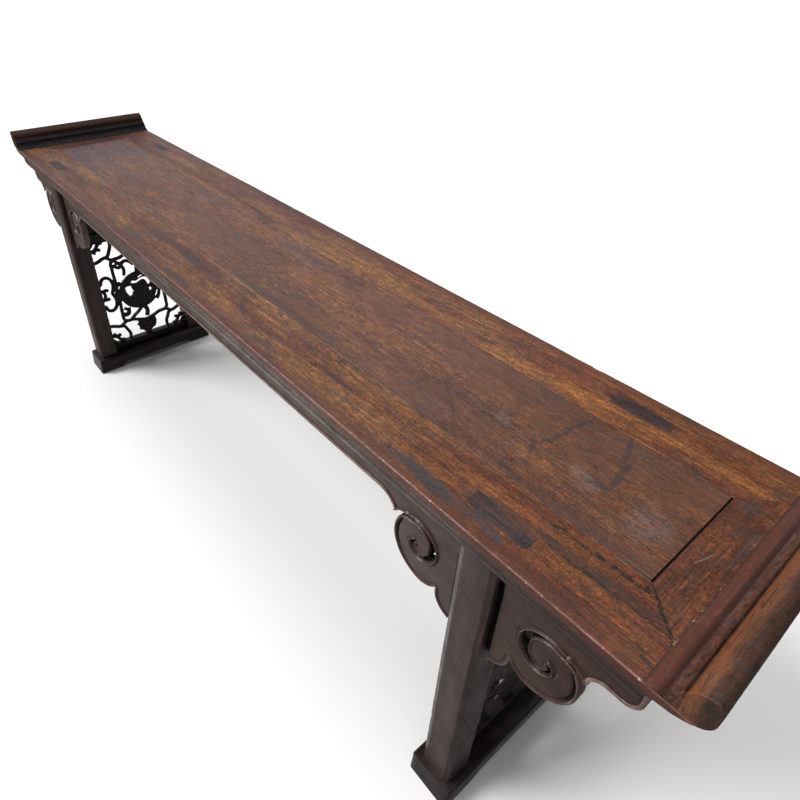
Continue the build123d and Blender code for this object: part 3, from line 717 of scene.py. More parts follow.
def flange_profile():
    """Outline of the right-hand flange in X and Z: hollow, bead, quirk, crown and lip."""
    foot = (FLANGE_LOW[0], TOP)
    hollow = (foot[0] + 16.5, foot[1] + 8.0)
    bead_low = (foot[0] + 26.0, foot[1] + 23.0)
    bead_mid = (bead_low[0] + 7.5, bead_low[1] + 5.5)
    bead_high = (bead_low[0] + 12.0, bead_low[1] + 15.0)
    quirk = (bead_high[0] + 3.0, bead_high[1] - 2.0)
    crown = (HALF_LENGTH - 12.0, FLANGE_HIGH[2])
    lip = (HALF_LENGTH, FLANGE_HIGH[2] - 12.0)
    turn = (HALF_LENGTH, TOP + 26.0)
    crown_run = tangent_arc(crown, (-1, 0), quirk, 9)[::-1]
    lip_run = tangent_arc(crown, (1, 0), lip, 6)[1:]
    under_run = tangent_arc(turn, (0, -1), (SHELF_EDGE, TOP), 7)
    outline = arc(foot, hollow, bead_low, 12)
    outline += arc(bead_low, bead_mid, bead_high, 7)[1:]
    outline += crown_run + lip_run
    outline += [(HALF_LENGTH, TOP + 38), (HALF_LENGTH, TOP + 32)] + under_run
    outline += [(SHELF_EDGE - 20, TOP), (foot[0] + 20, TOP)]
    return outline


def flange():
    """Right-hand flange with worn bead and lip."""
    centre_x, centre_z = HALF_LENGTH - 33.0, TOP + 30.0

    def wear(points):
        """Chips along the bead and the lip, and a slight waver all over."""
        x, _, z = points.T
        line = points * (0, 1, 0)
        bead = 1 - smooth(4, 9, np.hypot(x - (FLANGE_LOW[0] + 34), z - (TOP + 32)))
        bead_chip = np.maximum(ripple(line, 16, 61) - 0.45, 0) * 5 + np.maximum(ripple(line, 55, 62), 0)
        lip = (1 - smooth(3, 14, FLANGE_HIGH[2] - z)) * smooth(HALF_LENGTH - 40, HALF_LENGTH - 28, x)
        lip_chip = np.maximum(ripple(line, 30, 63) - 0.5, 0) * 3 + 0.25
        amount = bead * bead_chip * 0.5 + lip * lip_chip * 0.6
        amount += 0.12 * (1 + ripple(points, (30, 40, 30), 64)) * (z > TOP + 2)
        inward = np.column_stack([x - centre_x, x * 0, z - centre_z])
        inward /= np.maximum(np.linalg.norm(inward, axis=1, keepdims=True), 1e-9)
        moved = points - inward * amount[:, None]
        moved[:, 2] = np.maximum(moved[:, 2], TOP - 0.4)
        return moved

    return bar("right_flange_worn", flange_profile(), 1, -HALF_DEPTH, HALF_DEPTH, 1.2, STATION, wear)


# =========================================================================================
# legs, feet and stretchers
# =========================================================================================
def leg():
    """Right-hand front leg with a worn bevel down both outer corners."""
    flat = LEG_HALF - BEVEL_WIDTH
    shoulder = -LEG_FRONT + BEVEL_DEPTH
    ring = [
        (LEG_X - LEG_HALF, -LEG_BACK), (LEG_X - LEG_HALF, shoulder), (LEG_X - flat, -LEG_FRONT),
        (LEG_X + flat, -LEG_FRONT), (LEG_X + LEG_HALF, shoulder), (LEG_X + LEG_HALF, -LEG_BACK),
    ]
    ring = divided(chamfered(ring, 0.9), 7.0)
    middle = np.array([LEG_X, -(LEG_FRONT + LEG_BACK) / 2])

    def wear(points):
        """Nicks down the corners, and a slight waver all over."""
        out = points[:, :2] - middle
        length = np.linalg.norm(out, axis=1)
        corner = smooth(39, 48, length)
        nick = np.maximum(ripple(points, (500, 500, 22), 71) - 0.5, 0) * 4
        amount = 0.25 + 0.25 * ripple(points, (24, 24, 90), 72) + corner * nick
        moved = points.copy()
        moved[:, :2] -= out / length[:, None] * amount[:, None]
        return moved

    post = bar("front_right_post", ring, 2, FOOT_TOP, FRAME_LOW, 0.4, 6.0, wear, crease=9)
    mark_rubbing_and_shade(post, 1.2)
    return post


def foot_runner():
    """Right-hand foot runner with a raised underside between two pads."""
    half = FOOT_HIGH[1]
    relief, pad_length, ramp, slope = 14.0, 98.0, 28.0, 4.0
    pad = half - pad_length
    top = half - slope
    steep = (pad - ramp * 0.35, relief * 0.75)
    left = arc((-pad, 0), (-steep[0], steep[1]), (-pad + ramp, relief), 6)
    right = arc((pad - ramp, relief), steep, (pad, 0), 6)
    outline = [(-half, 0), *left, *right, (half, 0), (top, FOOT_TOP), (-top, FOOT_TOP)]
    ring = divided(outline, 9.0)

    def wear(points):
        """Dents in the ends, and soft upper edges."""
        moved = points.copy()
        corner = smooth(46, 57, np.abs(points[:, 0] - LEG_X)) * smooth(half - 26, half, np.abs(points[:, 1]))
        dent = np.maximum(ripple(points, 26, 81) - 0.1, 0) * 3.2 * corner
        upper = smooth(8, 16, points[:, 2])
        soften = upper * (0.3 + 0.3 * ripple(points, (30, 60, 18), 82))
        moved[:, 0] -= np.sign(points[:, 0] - LEG_X) * (dent + soften)
        moved[:, 1] -= np.sign(points[:, 1]) * (dent + soften * corner)
        return moved

    runner = bar("right_runner", ring, 0, FOOT_LOW[0], FOOT_HIGH[0], 6.0, 9.0, wear)
    mark_rubbing_and_shade(runner, 1.2)
    return runner


def lower_bar():
    """Right-hand lower stretcher, rubbed along its upper edges."""
    low = (STRETCHER_LOW[0], -LEG_BACK - 1, STRETCHER_LOW[2])
    high = (STRETCHER_HIGH[0], LEG_BACK + 1, STRETCHER_HIGH[2])
    points, faces = eased_box(low, high, (7, 6, 7), 3.0)
    upper = smooth(low[2] + 12, high[2], points[:, 2])
    points[:, 2] -= upper * (0.5 + 0.4 * ripple(points, (40, 50, 40), 91))
    bar_piece = piece_of("right_lower_bar", points, faces)
    mark_rubbing_and_shade(bar_piece, 1.6)
    return bar_piece


# =========================================================================================
# aprons and cloud spandrels
# =========================================================================================
def apron_outline():
    """Front apron in X and Z, and its lower edge between the legs and beyond the right one."""
    bottom = FRAME_LOW - APRON_DROP
    joint = FRAME_LOW - JOINT_DROP
    cusp = FRAME_LOW - CUSP_DROP
    inner_tip, outer_tip = LEG_X - CUSP_REACH, LEG_X + CUSP_REACH
    swell, end_swell, round_end = 38.0, 28.0, 28.0
    blunt = 2.6
    inner_middle = (inner_tip - swell * 0.37, bottom - 9)
    inner = arc((inner_tip - swell, bottom), inner_middle, (inner_tip, cusp), 8)
    outer_middle = (outer_tip + end_swell * 0.36, bottom - 7)
    outer = arc((outer_tip + blunt, cusp), outer_middle, (outer_tip + end_swell, bottom), 8)
    end = tangent_arc((APRON_HALF - round_end, bottom), (1, 0), (APRON_HALF, bottom + round_end), 7)
    half = [*inner, (inner_tip, joint), (outer_tip, joint), (outer_tip, cusp)]
    half += [*outer, *end, (APRON_HALF, FRAME_LOW)]
    middle_edge = [(-x, z) for x, z in inner[::-1]] + inner
    end_edge = outer + end + [(APRON_HALF, FRAME_LOW - 2)]
    ring = half + [(-x, z) for x, z in half[::-1]]
    return ring, middle_edge, end_edge


def along_edge(points, distance):
    """An open line moved to its left by distance, with its straight runs divided."""
    line = np.array(divided(points, 24.0, closed=False))
    ahead = np.gradient(line, axis=0)
    ahead /= np.linalg.norm(ahead, axis=1, keepdims=True)
    return line + np.stack([-ahead[:, 1], ahead[:, 0]], 1) * distance


def apron():
    """Front apron with a raised bead along its lower edge."""
    ring, middle_edge, end_edge = apron_outline()
    board = bar("apron_board", divided(ring, 30.0), 1, -BOARD_FRONT, -BOARD_BACK, 0.3, 17.0)
    slots = []
    for x in (-LEG_X, LEG_X):
        low = (x - LEG_HALF - FLUTE_WIDTH, -BOARD_FRONT - 2, FRAME_LOW - JOINT_DROP - 2)
        high = (x + LEG_HALF + FLUTE_WIDTH, -BOARD_FRONT + LAYER_DEPTH, FRAME_LOW + 2)
        slots.append(piece_of("slot", *eased_box(low, high, 40, 0.3)))
    difference(board, joined("slots", slots))
    finish_mesh(board.data, 20)
    bead_wide, bead_deep, bead_in, bead_out = 7.0, 5.0, 3.6, 0.2
    middle, right = ([(x, -BOARD_FRONT - bead_out, z) for x, z in along_edge(edge, bead_in)]
                     for edge in (middle_edge, end_edge))
    left = [(-x, y, z) for x, y, z in right]
    bead = strands("apron_bead", [middle, right, left], bead_wide, bead_deep, (0, 1, 0), 5.0, 4.0)
    finish_mesh(bead.data)
    whole = joined("front_apron_board", [board, bead])
    # the raised bead is stored to be painted lighter, as rubbing and a painted highlight along the lower
    # edge
    forward = -gathered(whole.data.vertices, "co", 3)[:, 1] / MM
    raised = smooth(BOARD_FRONT + 0.6, BOARD_FRONT + 2.2, forward)
    mark_rubbing_and_shade(whole, 0.0, crest=0.5 * raised)
    return whole


def hung(reach, drop):
    """A point of the spandrel, from the leg centre and the underside of the frame."""
    return (LEG_X + reach, FRAME_LOW - drop)


def inside(points, ring):
    """Which points lie inside a closed outline."""
    x, y = points.T
    hit = np.zeros(len(points), bool)
    ring = np.array(ring, float)
    for (ax, ay), (bx, by) in zip(ring, np.roll(ring, -1, 0)):
        crosses = (ay > y) != (by > y)
        with np.errstate(divide="ignore", invalid="ignore"):
            at = ax + (y - ay) * (bx - ax) / (by - ay)
        hit ^= crosses & (x < at)
    return hit


def distance_to(points, line, closed=False):
    """Distance from each point to a drawn line."""
    line = np.array(line, float)
    ends = np.roll(line, -1, 0) if closed else line[1:]
    starts = line if closed else line[:-1]
    best = np.full(len(points), 1e9)
    for a, b in zip(starts, ends):
        run = b - a
        share = np.clip(((points - a) @ run) / max(run @ run, 1e-9), 0, 1)
        best = np.minimum(best, np.linalg.norm(points - a - share[:, None] * run, axis=1))
    return best


EYE = hung(138.0, 122.0)
# the scroll round its middle: angle in degrees, then the channel's distance from the middle,
# the channel's width and the distance of the ridge outside it
SCROLL = np.array([
    (22, 68, 4.5, 76.5), (45, 63.5, 5.5, 71.5), (66, 56.5, 7.5, 63.5), (107, 52.5, 9, 60.0),
    (130, 48.5, 12, 57.5), (154, 41, 16, 52.5), (200, 30.5, 12.5, 41.0), (245, 25, 8.0, 32.0),
    (285, 18.5, 6.5, 25.0), (350, 13.0, 6.0, 19.0), (430, 8.0, 4.2, 13.5),
])
SLOT_FROM, SLOT_TO = 82.0, 212.0     # where the channel is pierced, in degrees


def round_middle(degrees, distance):
    """Point of the spandrel at an angle and a distance from the middle of the scroll."""
    return (EYE[0] + distance * math.cos(math.radians(degrees)),
            EYE[1] + distance * math.sin(math.radians(degrees)))


def scroll_relief(points):
    """Height of the carved face over the plain board: channel, ridges and domed scroll."""
    out = points - np.array(EYE)
    distance = np.linalg.norm(out, axis=1)
    angle = np.degrees(np.arctan2(out[:, 1], out[:, 0])) % 360
    height = 1.2 * (1 - smooth(10, 55, distance))
    crest = np.zeros(len(points))
    for lap in (0, 360):
        turn = angle + lap
        middle, width, ridge = (np.interp(turn, SCROLL[:, 0], SCROLL[:, k]) for k in (1, 2, 3))
        started = smooth(20, 27, turn) * (1 - smooth(418, 434, turn))
        opened = smooth(18, 34, turn) * (1 - smooth(418, 434, turn))
        depth = np.interp(turn, (45, 80, 210, 300, 430), (5.0, 8.0, 8.0, 6.0, 4.5))
        channel = depth * (1 - smooth(0.6, 1.12, np.abs(distance - middle) / (width / 2)))
        high = 4.0 * np.exp(-(np.abs(distance - ridge) / 2.0) ** 2.4)
        foot = 1.1 * np.exp(-((distance - ridge - 4.4) / 1.3) ** 2) * smooth(60, 200, turn)
        lip = 2.8 * np.exp(-((distance - middle + width / 2 + 2.2) / 1.5) ** 2)
        height += started * (high - foot) + opened * (lip - channel)
        crest = np.maximum(crest, np.maximum(started * (high - 2.6) / 2.2, opened * (lip - 1.6) / 2.0))
    return height, crest


def spandrel_outline():
    """Outline of the outer right-hand spandrel, its free edge and the piercings."""
    tip = hung(CUSP_REACH, CUSP_DROP)
    nick = hung(172.0, 69.0)
    lobe = hung(129.0, 209.0)
    toe_x = LEG_X + LEG_HALF
    notch = (toe_x + 48.0, FRAME_LOW - 188.0)
    toe = (toe_x + 13.0, TOE_LOW)
    free = arc(tip, hung(186.0, 75.5), nick, 6)
    free += arc(nick, hung(200.0, 131.0), lobe, 40)[1:]
    free += arc(lobe, hung(105.0, 204.5), notch, 12)[1:]
    free += arc(notch, (toe_x + 39.5, FRAME_LOW - 220.0), toe, 14)[1:]
    root = toe_x - 3
    joint = FRAME_LOW - JOINT_DROP
    ring = free + [(root, toe[1]), (root, joint), (tip[0], joint)]
    turns = np.linspace(SLOT_FROM, SLOT_TO, 30)
    middle, width = (np.interp(turns, SCROLL[:, 0], SCROLL[:, k]) for k in (1, 2))
    half = 0.36 * width * np.sin(np.linspace(0, math.pi, 30)) ** 0.6
    outer = [round_middle(t, m + h) for t, m, h in zip(turns, middle, half)]
    inner = [round_middle(t, m - h) for t, m, h in zip(turns, middle, half)]
    slot = outer + inner[-2:0:-1]
    pupil = [round_middle(t, 3.6 + 1.2 * math.cos(math.radians(2 * t + 60))) for t in range(0, 360, 24)]
    return ring, free, [slot, pupil]


def filled(ring, holes, spacing):
    """Even triangles over an outline with holes, and which of their points lie on a rim."""
    loops = (ring, *holes)

    def on_wood(points):
        return inside(points, ring) & ~np.any([inside(points, hole) for hole in holes], axis=0)

    def from_rim(points):
        return np.min([distance_to(points, loop, True) for loop in loops], axis=0)

    low, high = np.min(ring, 0), np.max(ring, 0)
    columns = np.arange(low[0], high[0], spacing)
    lines = np.arange(low[1], high[1], spacing * 0.866)     # rows of even triangles
    grid = np.array([(x + (row % 2) * spacing / 2, z) for row, z in enumerate(lines) for x in columns])
    edges = []
    start = 0
    for loop in loops:
        edges += [(start + k, start + (k + 1) % len(loop)) for k in range(len(loop))]
        start += len(loop)
    places = np.concatenate([*loops, grid[on_wood(grid) & (from_rim(grid) > 1.0)]])
    drawn = delaunay_2d_cdt([Vector(p) for p in places], edges, [], 0, 1e-5)
    places = np.array([tuple(p) for p in drawn[0]])
    triangles = np.array(drawn[2])
    triangles = triangles[on_wood(places[triangles].mean(1))]
    return places, triangles, from_rim(places) < 0.05


def cloud_face(places, free, rim):
    """Height over the plain board and rubbing, which is partly a painted highlight: scroll, raised border,
    groove and flute.
    """
    height, crest = scroll_relief(places)
    edge = distance_to(places, free)
    border = 1.9 * np.sqrt(np.clip(1 - ((edge - 3.0) / 3.2) ** 2, 0, 1))
    out = places - np.array(EYE)
    angle = np.degrees(np.arctan2(out[:, 1], out[:, 0]))
    deep = smooth(-75, -25, angle) * (1 - smooth(26, 44, angle))
    groove = -(1.5 + 3.5 * deep) * np.exp(-((edge - 8.3) / (1.5 + 0.9 * deep)) ** 2)
    clear = smooth(10, 24, np.linalg.norm(places - np.array(hung(184, 74)), axis=1))
    height += (border + groove) * clear
    crest = np.maximum(crest, (border - 1.2) * 0.7 * clear)
    from_leg = places[:, 0] - (LEG_X + LEG_HALF)
    flute = 1 - smooth(FLUTE_WIDTH - 0.9, FLUTE_WIDTH + 0.5, from_leg)
    height = height * (1 - flute) - LAYER_DEPTH * flute
    height -= np.where(rim & (edge < 0.05), 0.9, 0)
    height = np.maximum(height, 5 - BOARD_THICK)
    spots = np.column_stack([places, places[:, 0] * 0])
    height -= 0.15 + 0.15 * ripple(spots, 14, 101)
    return height, np.clip(crest, 0, 1) * (0.55 + 0.45 * ripple(spots, 22, 105))


def spandrel():
    """Cloud spandrel on the outer side of the right-hand front leg, carved in relief."""
    ring, free, holes = spandrel_outline()
    rim_step, inner_step = 2.4, 1.55
    loops = [divided(loop, rim_step) for loop in (ring, *holes)]
    places, triangles, rim = filled(loops[0], loops[1:], inner_step)
    height, crest = cloud_face(places, free, rim)
    count = len(places)
    front = np.column_stack([places[:, 0], -BOARD_FRONT - height, places[:, 1]])
    back = np.column_stack([places[:, 0], np.full(count, -BOARD_BACK), places[:, 1]])
    faces = [tuple(t) for t in triangles] + [tuple(t[::-1] + count) for t in triangles]
    pairs = [pair for a, b, c in triangles for pair in ((a, b), (b, c), (c, a))]
    known = set(pairs)
    faces += [(b, a, a + count, b + count) for a, b in pairs if (b, a) not in known]
    piece = piece_of("front_right_outer_cloud", np.concatenate([front, back]), faces, 48)
    # painted shade: the deep channel and the flute are stored to be painted black; the crests are stored to
    # be painted lighter, as rubbing and a painted highlight
    depth = np.clip((-height - 1.5) / 4, 0, 1)
    mark_rubbing_and_shade(piece, 0.9, *(np.concatenate([value, np.zeros(count)]) for value in (depth, crest)))
    return piece


# =========================================================================================
# openwork
# =========================================================================================
DRAWN_WIDE, DRAWN_HIGH = 336.0, 470.0     # the field that the lines below are drawn for
STRETCH_Y = 2 * LEG_BACK / DRAWN_WIDE
STRETCH_Z = (FIELD_HIGH - FIELD_LOW) / DRAWN_HIGH
PATTERN_Z = (FIELD_HIGH + FIELD_LOW) / 2


def both(lines, turn_y=1, turn_z=1):
    """Lines and their mirror image; a turn of -1 mirrors them in that direction."""
    return lines + [[(y * turn_y, z * turn_z) for y, z in line] for line in lines]


# lines of the carving by the width of the strand: across and up from the middle of the field
CLOUDS = {
    8.0: both(both([
        [(-172, -149), (-150, -151), (-125, -161), (-104, -166), (-93, -186), (-84, -210), (-88, -239)],
        [(-112, -165), (-101, -153), (-90, -147)],
        [(-172, -199), (-155, -201), (-143, -207), (-128, -226), (-112, -230)],
        [(-152, -188), (-144, -203), (-124, -200)],
        [(-172, -217), (-160, -222), (-150, -240)],
        [(-172, 46), (-157, 53), (-150, 70), (-134, 77), (-118, 68), (-110, 48), (-110, 28), (-119, 0)],
        [(-172, 24), (-156, 20), (-147, 0)],
        [(-153, 18), (-143, 22), (-132, 18)],
        [(-97, 0), (-96, -40), (-98, -110), (-96, -136), (-84, -146), (-60, -148), (-34, -158), (-12, -164)],
        [(-109, -6), (-98, -14)],
    ], turn_z=-1), turn_y=-1) + [
        [(-66, -146), (-50, -132), (-30, -118), (-12, -102)],
        [(-84, -84), (-74, -92), (-60, -94)],
        [(62, -84), (72, -66), (78, -40)],
        [(-88, 148), (-74, 130), (-58, 112), (-52, 92), (-56, 66)],
        [(-72, 128), (-60, 120), (-66, 106), (-80, 110), (-84, 124)],
        [(-58, 118), (-44, 128), (-26, 122), (-10, 104)],
        [(78, 40), (88, 30), (98, 28)],
        [(-78, 40), (-88, 30), (-98, 28)],
        [(84, 148), (70, 126), (60, 112), (54, 92), (56, 62)],
    ],
    14.0: [
        [(-96, -110), (-82, -116), (-70, -110), (-70, -102)],
        [(0, -98), (10, -124), (4, -150)],
        [(0, 66), (4, 110), (0, 160)],
        *both([
            [(-40, -176), (-30, -196), (-34, -210)], [(32, -178), (28, -196), (20, -212)],
            [(-20, -200), (-14, -216), (10, -214), (18, -202)], [(-38, -164), (-18, -172)],
            [(36, -166), (18, -172)],
        ], turn_z=-1),
    ],
    22.0: both([
        [(-30, -182), (-6, -184), (24, -180)], [(-4, -160), (-2, -190), (-4, -240)],
    ], turn_z=-1),
}
ROUNDEL_HOLES = {
    15.0: [[(-57, 12), (-53, -12), (-42, -34)], [(-46, 12), (-43, -6), (-36, -22)]],
    12.0: [[(-34, 28), (-14, 22), (2, 28), (22, 30), (36, 12), (38, -4)]],
    9.0: [
        [(38, -18), (43, -36)], [(56, -68), (66, -54), (70, -40)], [(-2, 40), (16, 46)], [(46, 2), (48, 6)],
    ],
}


def on_board(line, x):
    """A line of the pattern on the carved board."""
    return [(x, y * STRETCH_Y, PATTERN_Z + z * STRETCH_Z) for y, z in line]


def roundel(x, thickness):
    """Pierced disc in the middle of the pattern, crowned on both faces."""
    centre_y, centre_z, reach = -5, -17, 86
    turns = np.linspace(0, math.tau, 73)[:-1]
    drawn = [(centre_y + reach * math.cos(t), centre_z + reach * math.sin(t)) for t in turns]
    ring = [(y, z) for _, y, z in on_board(drawn, x)]
    disc = bar("roundel", ring, 0, x - thickness / 2, x + thickness / 2, 2.5, 7.0)
    cutters = []
    for width, lines in ROUNDEL_HOLES.items():
        for number, line in enumerate(lines):
            cutters.append(strands(f"hole_{width:g}_{number}", [on_board(line, x)], width, 60, (1, 0, 0)))
    return difference(disc, joined("holes", cutters))


def openwork():
    """Right-hand carved board: cloud strands, roundel and bats, joined by hidden edges."""
    x = (OPENWORK_LOW[0] + OPENWORK_HIGH[0]) / 2
    thickness = OPENWORK_HIGH[0] - OPENWORK_LOW[0]
    fuller = 5.6                 # the strands are this much wider than they are drawn
    parts = [roundel(x, thickness - 2)]
    for width, lines in CLOUDS.items():
        drawn = [on_board(line, x) for line in lines]
        parts.append(strands(f"strand_{width:g}", drawn, width + fuller, thickness, (1, 0, 0), taper=6.0))
    edge = 7.0
    for axis in (2, 1):
        below, above = OPENWORK_HIGH.copy(), OPENWORK_LOW.copy()
        below[axis] = OPENWORK_LOW[axis] + edge
        above[axis] = OPENWORK_HIGH[axis] - edge
        parts.append(piece_of("edge", *eased_box(OPENWORK_LOW, below, 40, 0.5)))
        parts.append(piece_of("edge", *eased_box(above, OPENWORK_HIGH, 40, 0.5)))
    board = joined("right_carved_board", parts)
    blend = board.modifiers.new("blend", "REMESH")
    blend.mode = "VOXEL"
    blend.voxel_size = 1.9 * MM
    ease = board.modifiers.new("ease", "SMOOTH")
    ease.factor = 0.5
    ease.iterations = 2
    baked(board)
    finish_mesh(board.data, 70)
    mark_rubbing_and_shade(board, 1.2)
    return board


# =========================================================================================
# finishes
# =========================================================================================
class Finish:
    """A finish under construction: each call adds nodes and gives back a socket.

    Places and sizes in the finishes are in metres, and tones are linear red, green and blue.
    """

    def __init__(self, name):
        self.material = bpy.data.materials.new(name)
        self.material.use_nodes = True
        self.tree = self.material.node_tree
        self.tree.nodes.clear()
        self.place = self.add("ShaderNodeTexCoord").outputs["Object"]
        self.x, self.y, self.z = self.add("ShaderNodeSeparateXYZ", {0: self.place}).outputs
        self.shared = {}

    def add(self, kind, inputs=None, **settings):
        return add_node(self.tree, kind, inputs, **settings)

    def calc(self, operation, a, b=0.0, c=0.0):
        return self.add("ShaderNodeMath", {0: a, 1: b, 2: c}, operation=operation).outputs[0]

    def times(self, product, *factors):
        """The product of all that is given."""
        for factor in factors:
            product = self.calc("MULTIPLY", product, factor)
        return product

    def plus(self, base, value, share):
        """The base and a share of the value."""
        return self.calc("MULTIPLY_ADD", value, share, base)

    def away(self, value, centre):
        """How far a value is from a centre, to either side."""
        return self.calc("ABSOLUTE", self.calc("SUBTRACT", value, centre))

    def step(self, value, low, high, start=0.0, end=1.0):
        """A soft step from start to end while value goes from low to high."""
        inputs = {"Value": value, "From Min": low, "From Max": high, "To Min": start, "To Max": end}
        return self.add("ShaderNodeMapRange", inputs, interpolation_type="SMOOTHSTEP").outputs[0]

    def patches(self, low, high, *noise):
        """Patches of a noise: 0 where it lies below low, 1 where it lies above high."""
        return self.step(self.noise(*noise), low, high)

    def fade(self, value, low, high):
        """A soft step down from 1 to 0 while value goes from low to high."""
        return self.step(value, low, high, 1.0, 0.0)

    def noise(self, size, detail=3.0, rough=0.55, warp=0.0, shift=0.0, turn=0.0):
        """Noise whose features have the given size in metres along X, Y and Z."""
        scale = size if turn else [1 / part for part in size]
        placed = self.add("ShaderNodeMapping", {
            "Vector": self.place, "Location": (shift, shift * 0.7, shift * 0.3),
            "Rotation": (0, 0, math.radians(turn)), "Scale": scale,
        }, vector_type="TEXTURE" if turn else "POINT")
        inputs = {"Vector": placed.outputs[0], "Scale": 1.0, "Detail": detail,
                  "Roughness": rough, "Distortion": warp}
        return self.add("ShaderNodeTexNoise", inputs).outputs[0]

    def mix(self, share, first, second, mode="MIX"):
        """The first colour with a share of the second one, as a socket or as three values."""
        first, second = (tone if isinstance(tone, bpy.types.NodeSocket) else (*tone, 1.0)
                         for tone in (first, second))
        inputs = {0: share, 6: first, 7: second}
        return self.add("ShaderNodeMix", inputs, data_type="RGBA", blend_type=mode).outputs[2]

    def lay(self, colour, tone, *shares):
        """Lay a tone over a colour, as strongly as the product of the shares."""
        return self.mix(self.times(*shares), colour, tone)

    def tint(self, colour, tone, share=1.0):
        """Multiply a colour by a tone."""
        return self.mix(share, colour, tone, "MULTIPLY")

    def ramp(self, share, *stops):
        return add_ramp(self.tree, share, stops)

    def spot(self, centre, reach, ragged=0.4, turn=0.0, wander=0.0):
        """A ragged patch on the top: 1 inside an oval in X and Y, 0 outside."""
        placed = self.add("ShaderNodeMapping", {
            "Vector": self.place, "Location": (*centre, SURFACE),
            "Rotation": (0, 0, math.radians(turn)), "Scale": (*reach, 0.2),
        }, vector_type="TEXTURE").outputs[0]
        if not self.shared:
            self.shared["drift"] = self.noise((0.028, 0.028, 0.5), 3, 0.55, 0, 2.6)
            self.shared["rags"] = self.noise((0.013, 0.0055, 0.02), 6, 0.8, 0.5, 1.9)
        if wander:
            amount = 2 * wander / reach[1]
            drift = self.calc("MULTIPLY_ADD", self.shared["drift"], amount, -amount / 2)
            bend = self.add("ShaderNodeCombineXYZ", {"Y": drift}).outputs[0]
            placed = self.add("ShaderNodeVectorMath", {0: placed, 1: bend}, operation="ADD").outputs[0]
        length = self.add("ShaderNodeVectorMath", {0: placed}, operation="LENGTH").outputs["Value"]
        length = self.plus(length, self.shared["rags"], ragged * 5)
        edge, soft = 1 + ragged * 2.5, 0.3
        return self.fade(length, edge - soft, edge + soft)

    def attribute(self, name):
        return self.add("ShaderNodeAttribute", attribute_name=name).outputs["Fac"]

    def surface(self, colour, rough, height, gloss=0.5, depth=0.0008, strength=0.75):
        """Close the material with its shader and bump."""
        bump = self.add("ShaderNodeBump", {"Height": height, "Strength": strength, "Distance": depth})
        shader = self.add("ShaderNodeBsdfPrincipled", {
            "Base Color": colour, "Roughness": rough, "Normal": bump.outputs[0],
            "Specular IOR Level": gloss,
        })
        self.add("ShaderNodeOutputMaterial", {"Surface": shader.outputs[0]})
        return self.material


def grained(along, long, fine):
    """Noise size for wood whose fibres run along one axis."""
    size = [fine, fine, fine]
    size[along] = long
    return size


# tones of the lacquer and of what time has left on it
ORANGE = (0.165, 0.063, 0.018)
AMBER = (0.212, 0.086, 0.027)
RED_BROWN = (0.112, 0.034, 0.015)
MAROON = (0.078, 0.022, 0.014)
UMBER = (0.040, 0.016, 0.011)
SLATE = (0.032, 0.030, 0.036)
BLACK = (0.006, 0.005, 0.005)
DUST = (0.24, 0.19, 0.18)
HAZE = (0.105, 0.078, 0.076)
STAIN = (0.030, 0.021, 0.022)
TAN = (0.42, 0.26, 0.14)


def timber(finish, along, tones, figure, seed):
    """Colour and height of lacquered wood: broad figure, grain lines and crackled lacquer."""
    colour = finish.ramp(finish.noise(grained(along, 0.45, figure), 6, 0.66, 0.6, seed), *tones)
    line = finish.noise(grained(along, 0.11, 0.0042), 4, 0.6, 0.25, seed + 3)
    where = finish.patches(0.40, 0.62, grained(along, 0.28, 0.06), 3, 0.6, 0, seed + 4)
    grain = finish.times(finish.step(line, 0.50, 0.62), where)
    colour = finish.lay(colour, UMBER, grain, 0.352)
    # pale lines along the grain: dust in the grain and a painted reflection off its ridges
    dust_and_sheen_lines = finish.times(finish.step(line, 0.44, 0.34), where)
    colour = finish.lay(colour, DUST, dust_and_sheen_lines, 0.16)
    fibre = finish.noise(grained(along, 0.030, 0.0030), 4, 0.65, 0.2, seed + 5)
    crackle = finish.noise((0.0042, 0.0038, 0.004), 5, 0.78, 0.4, seed + 6)
    cloud = finish.noise((0.020, 0.013, 0.018), 6, 0.72, 0.5, seed + 8)
    streaks = finish.noise(grained(along, 0.075, 0.0075), 5, 0.75, 0.3, seed + 10)
    for field, low, high, dark, light in (
        (fibre, 0.34, 0.66, 0.72, 1.30), (crackle, 0.32, 0.68, 0.44, 1.64),
        (cloud, 0.30, 0.70, 0.68, 1.32), (streaks, 0.34, 0.66, 0.74, 1.28),
    ):
        tone = finish.step(field, low, high, dark, light)
        shade = finish.add("ShaderNodeCombineColor", {0: tone, 1: tone, 2: tone}).outputs[0]
        colour = finish.tint(colour, shade)
    speck = finish.noise((0.0030, 0.0026, 0.003), 3, 0.7, 0, seed + 9)
    colour = finish.lay(colour, DUST, finish.step(speck, 0.66, 0.78), 0.35)
    pit = finish.step(speck, 0.34, 0.24)
    colour = finish.lay(colour, UMBER, pit, 0.7)
    height = crackle
    for field, share in ((fibre, 0.5), (pit, -0.5), (grain, -0.35), (cloud, 0.8)):
        height = finish.plus(height, field, share)
    return colour, height


def marked(finish, colour, marks):
    """Lay ragged marks over a colour; black ones flake, and dusty ones are left whole."""
    flaked = finish.patches(0.43, 0.53, (0.0085, 0.0042, 0.008), 6, 0.78, 0.5, 77)
    mottled = finish.step(finish.noise((0.014, 0.0060, 0.012), 6, 0.75, 0.4, 78), 0.38, 0.60, 0.45, 1.0)
    for centre, reach, tone, share, turn, wander in marks:
        shares = [finish.spot(centre, reach, turn=turn, wander=wander)]
        if tone != DUST:
            shares.append(flaked if tone == BLACK else mottled)
        colour = finish.lay(colour, tone, *shares, share)
    return colour


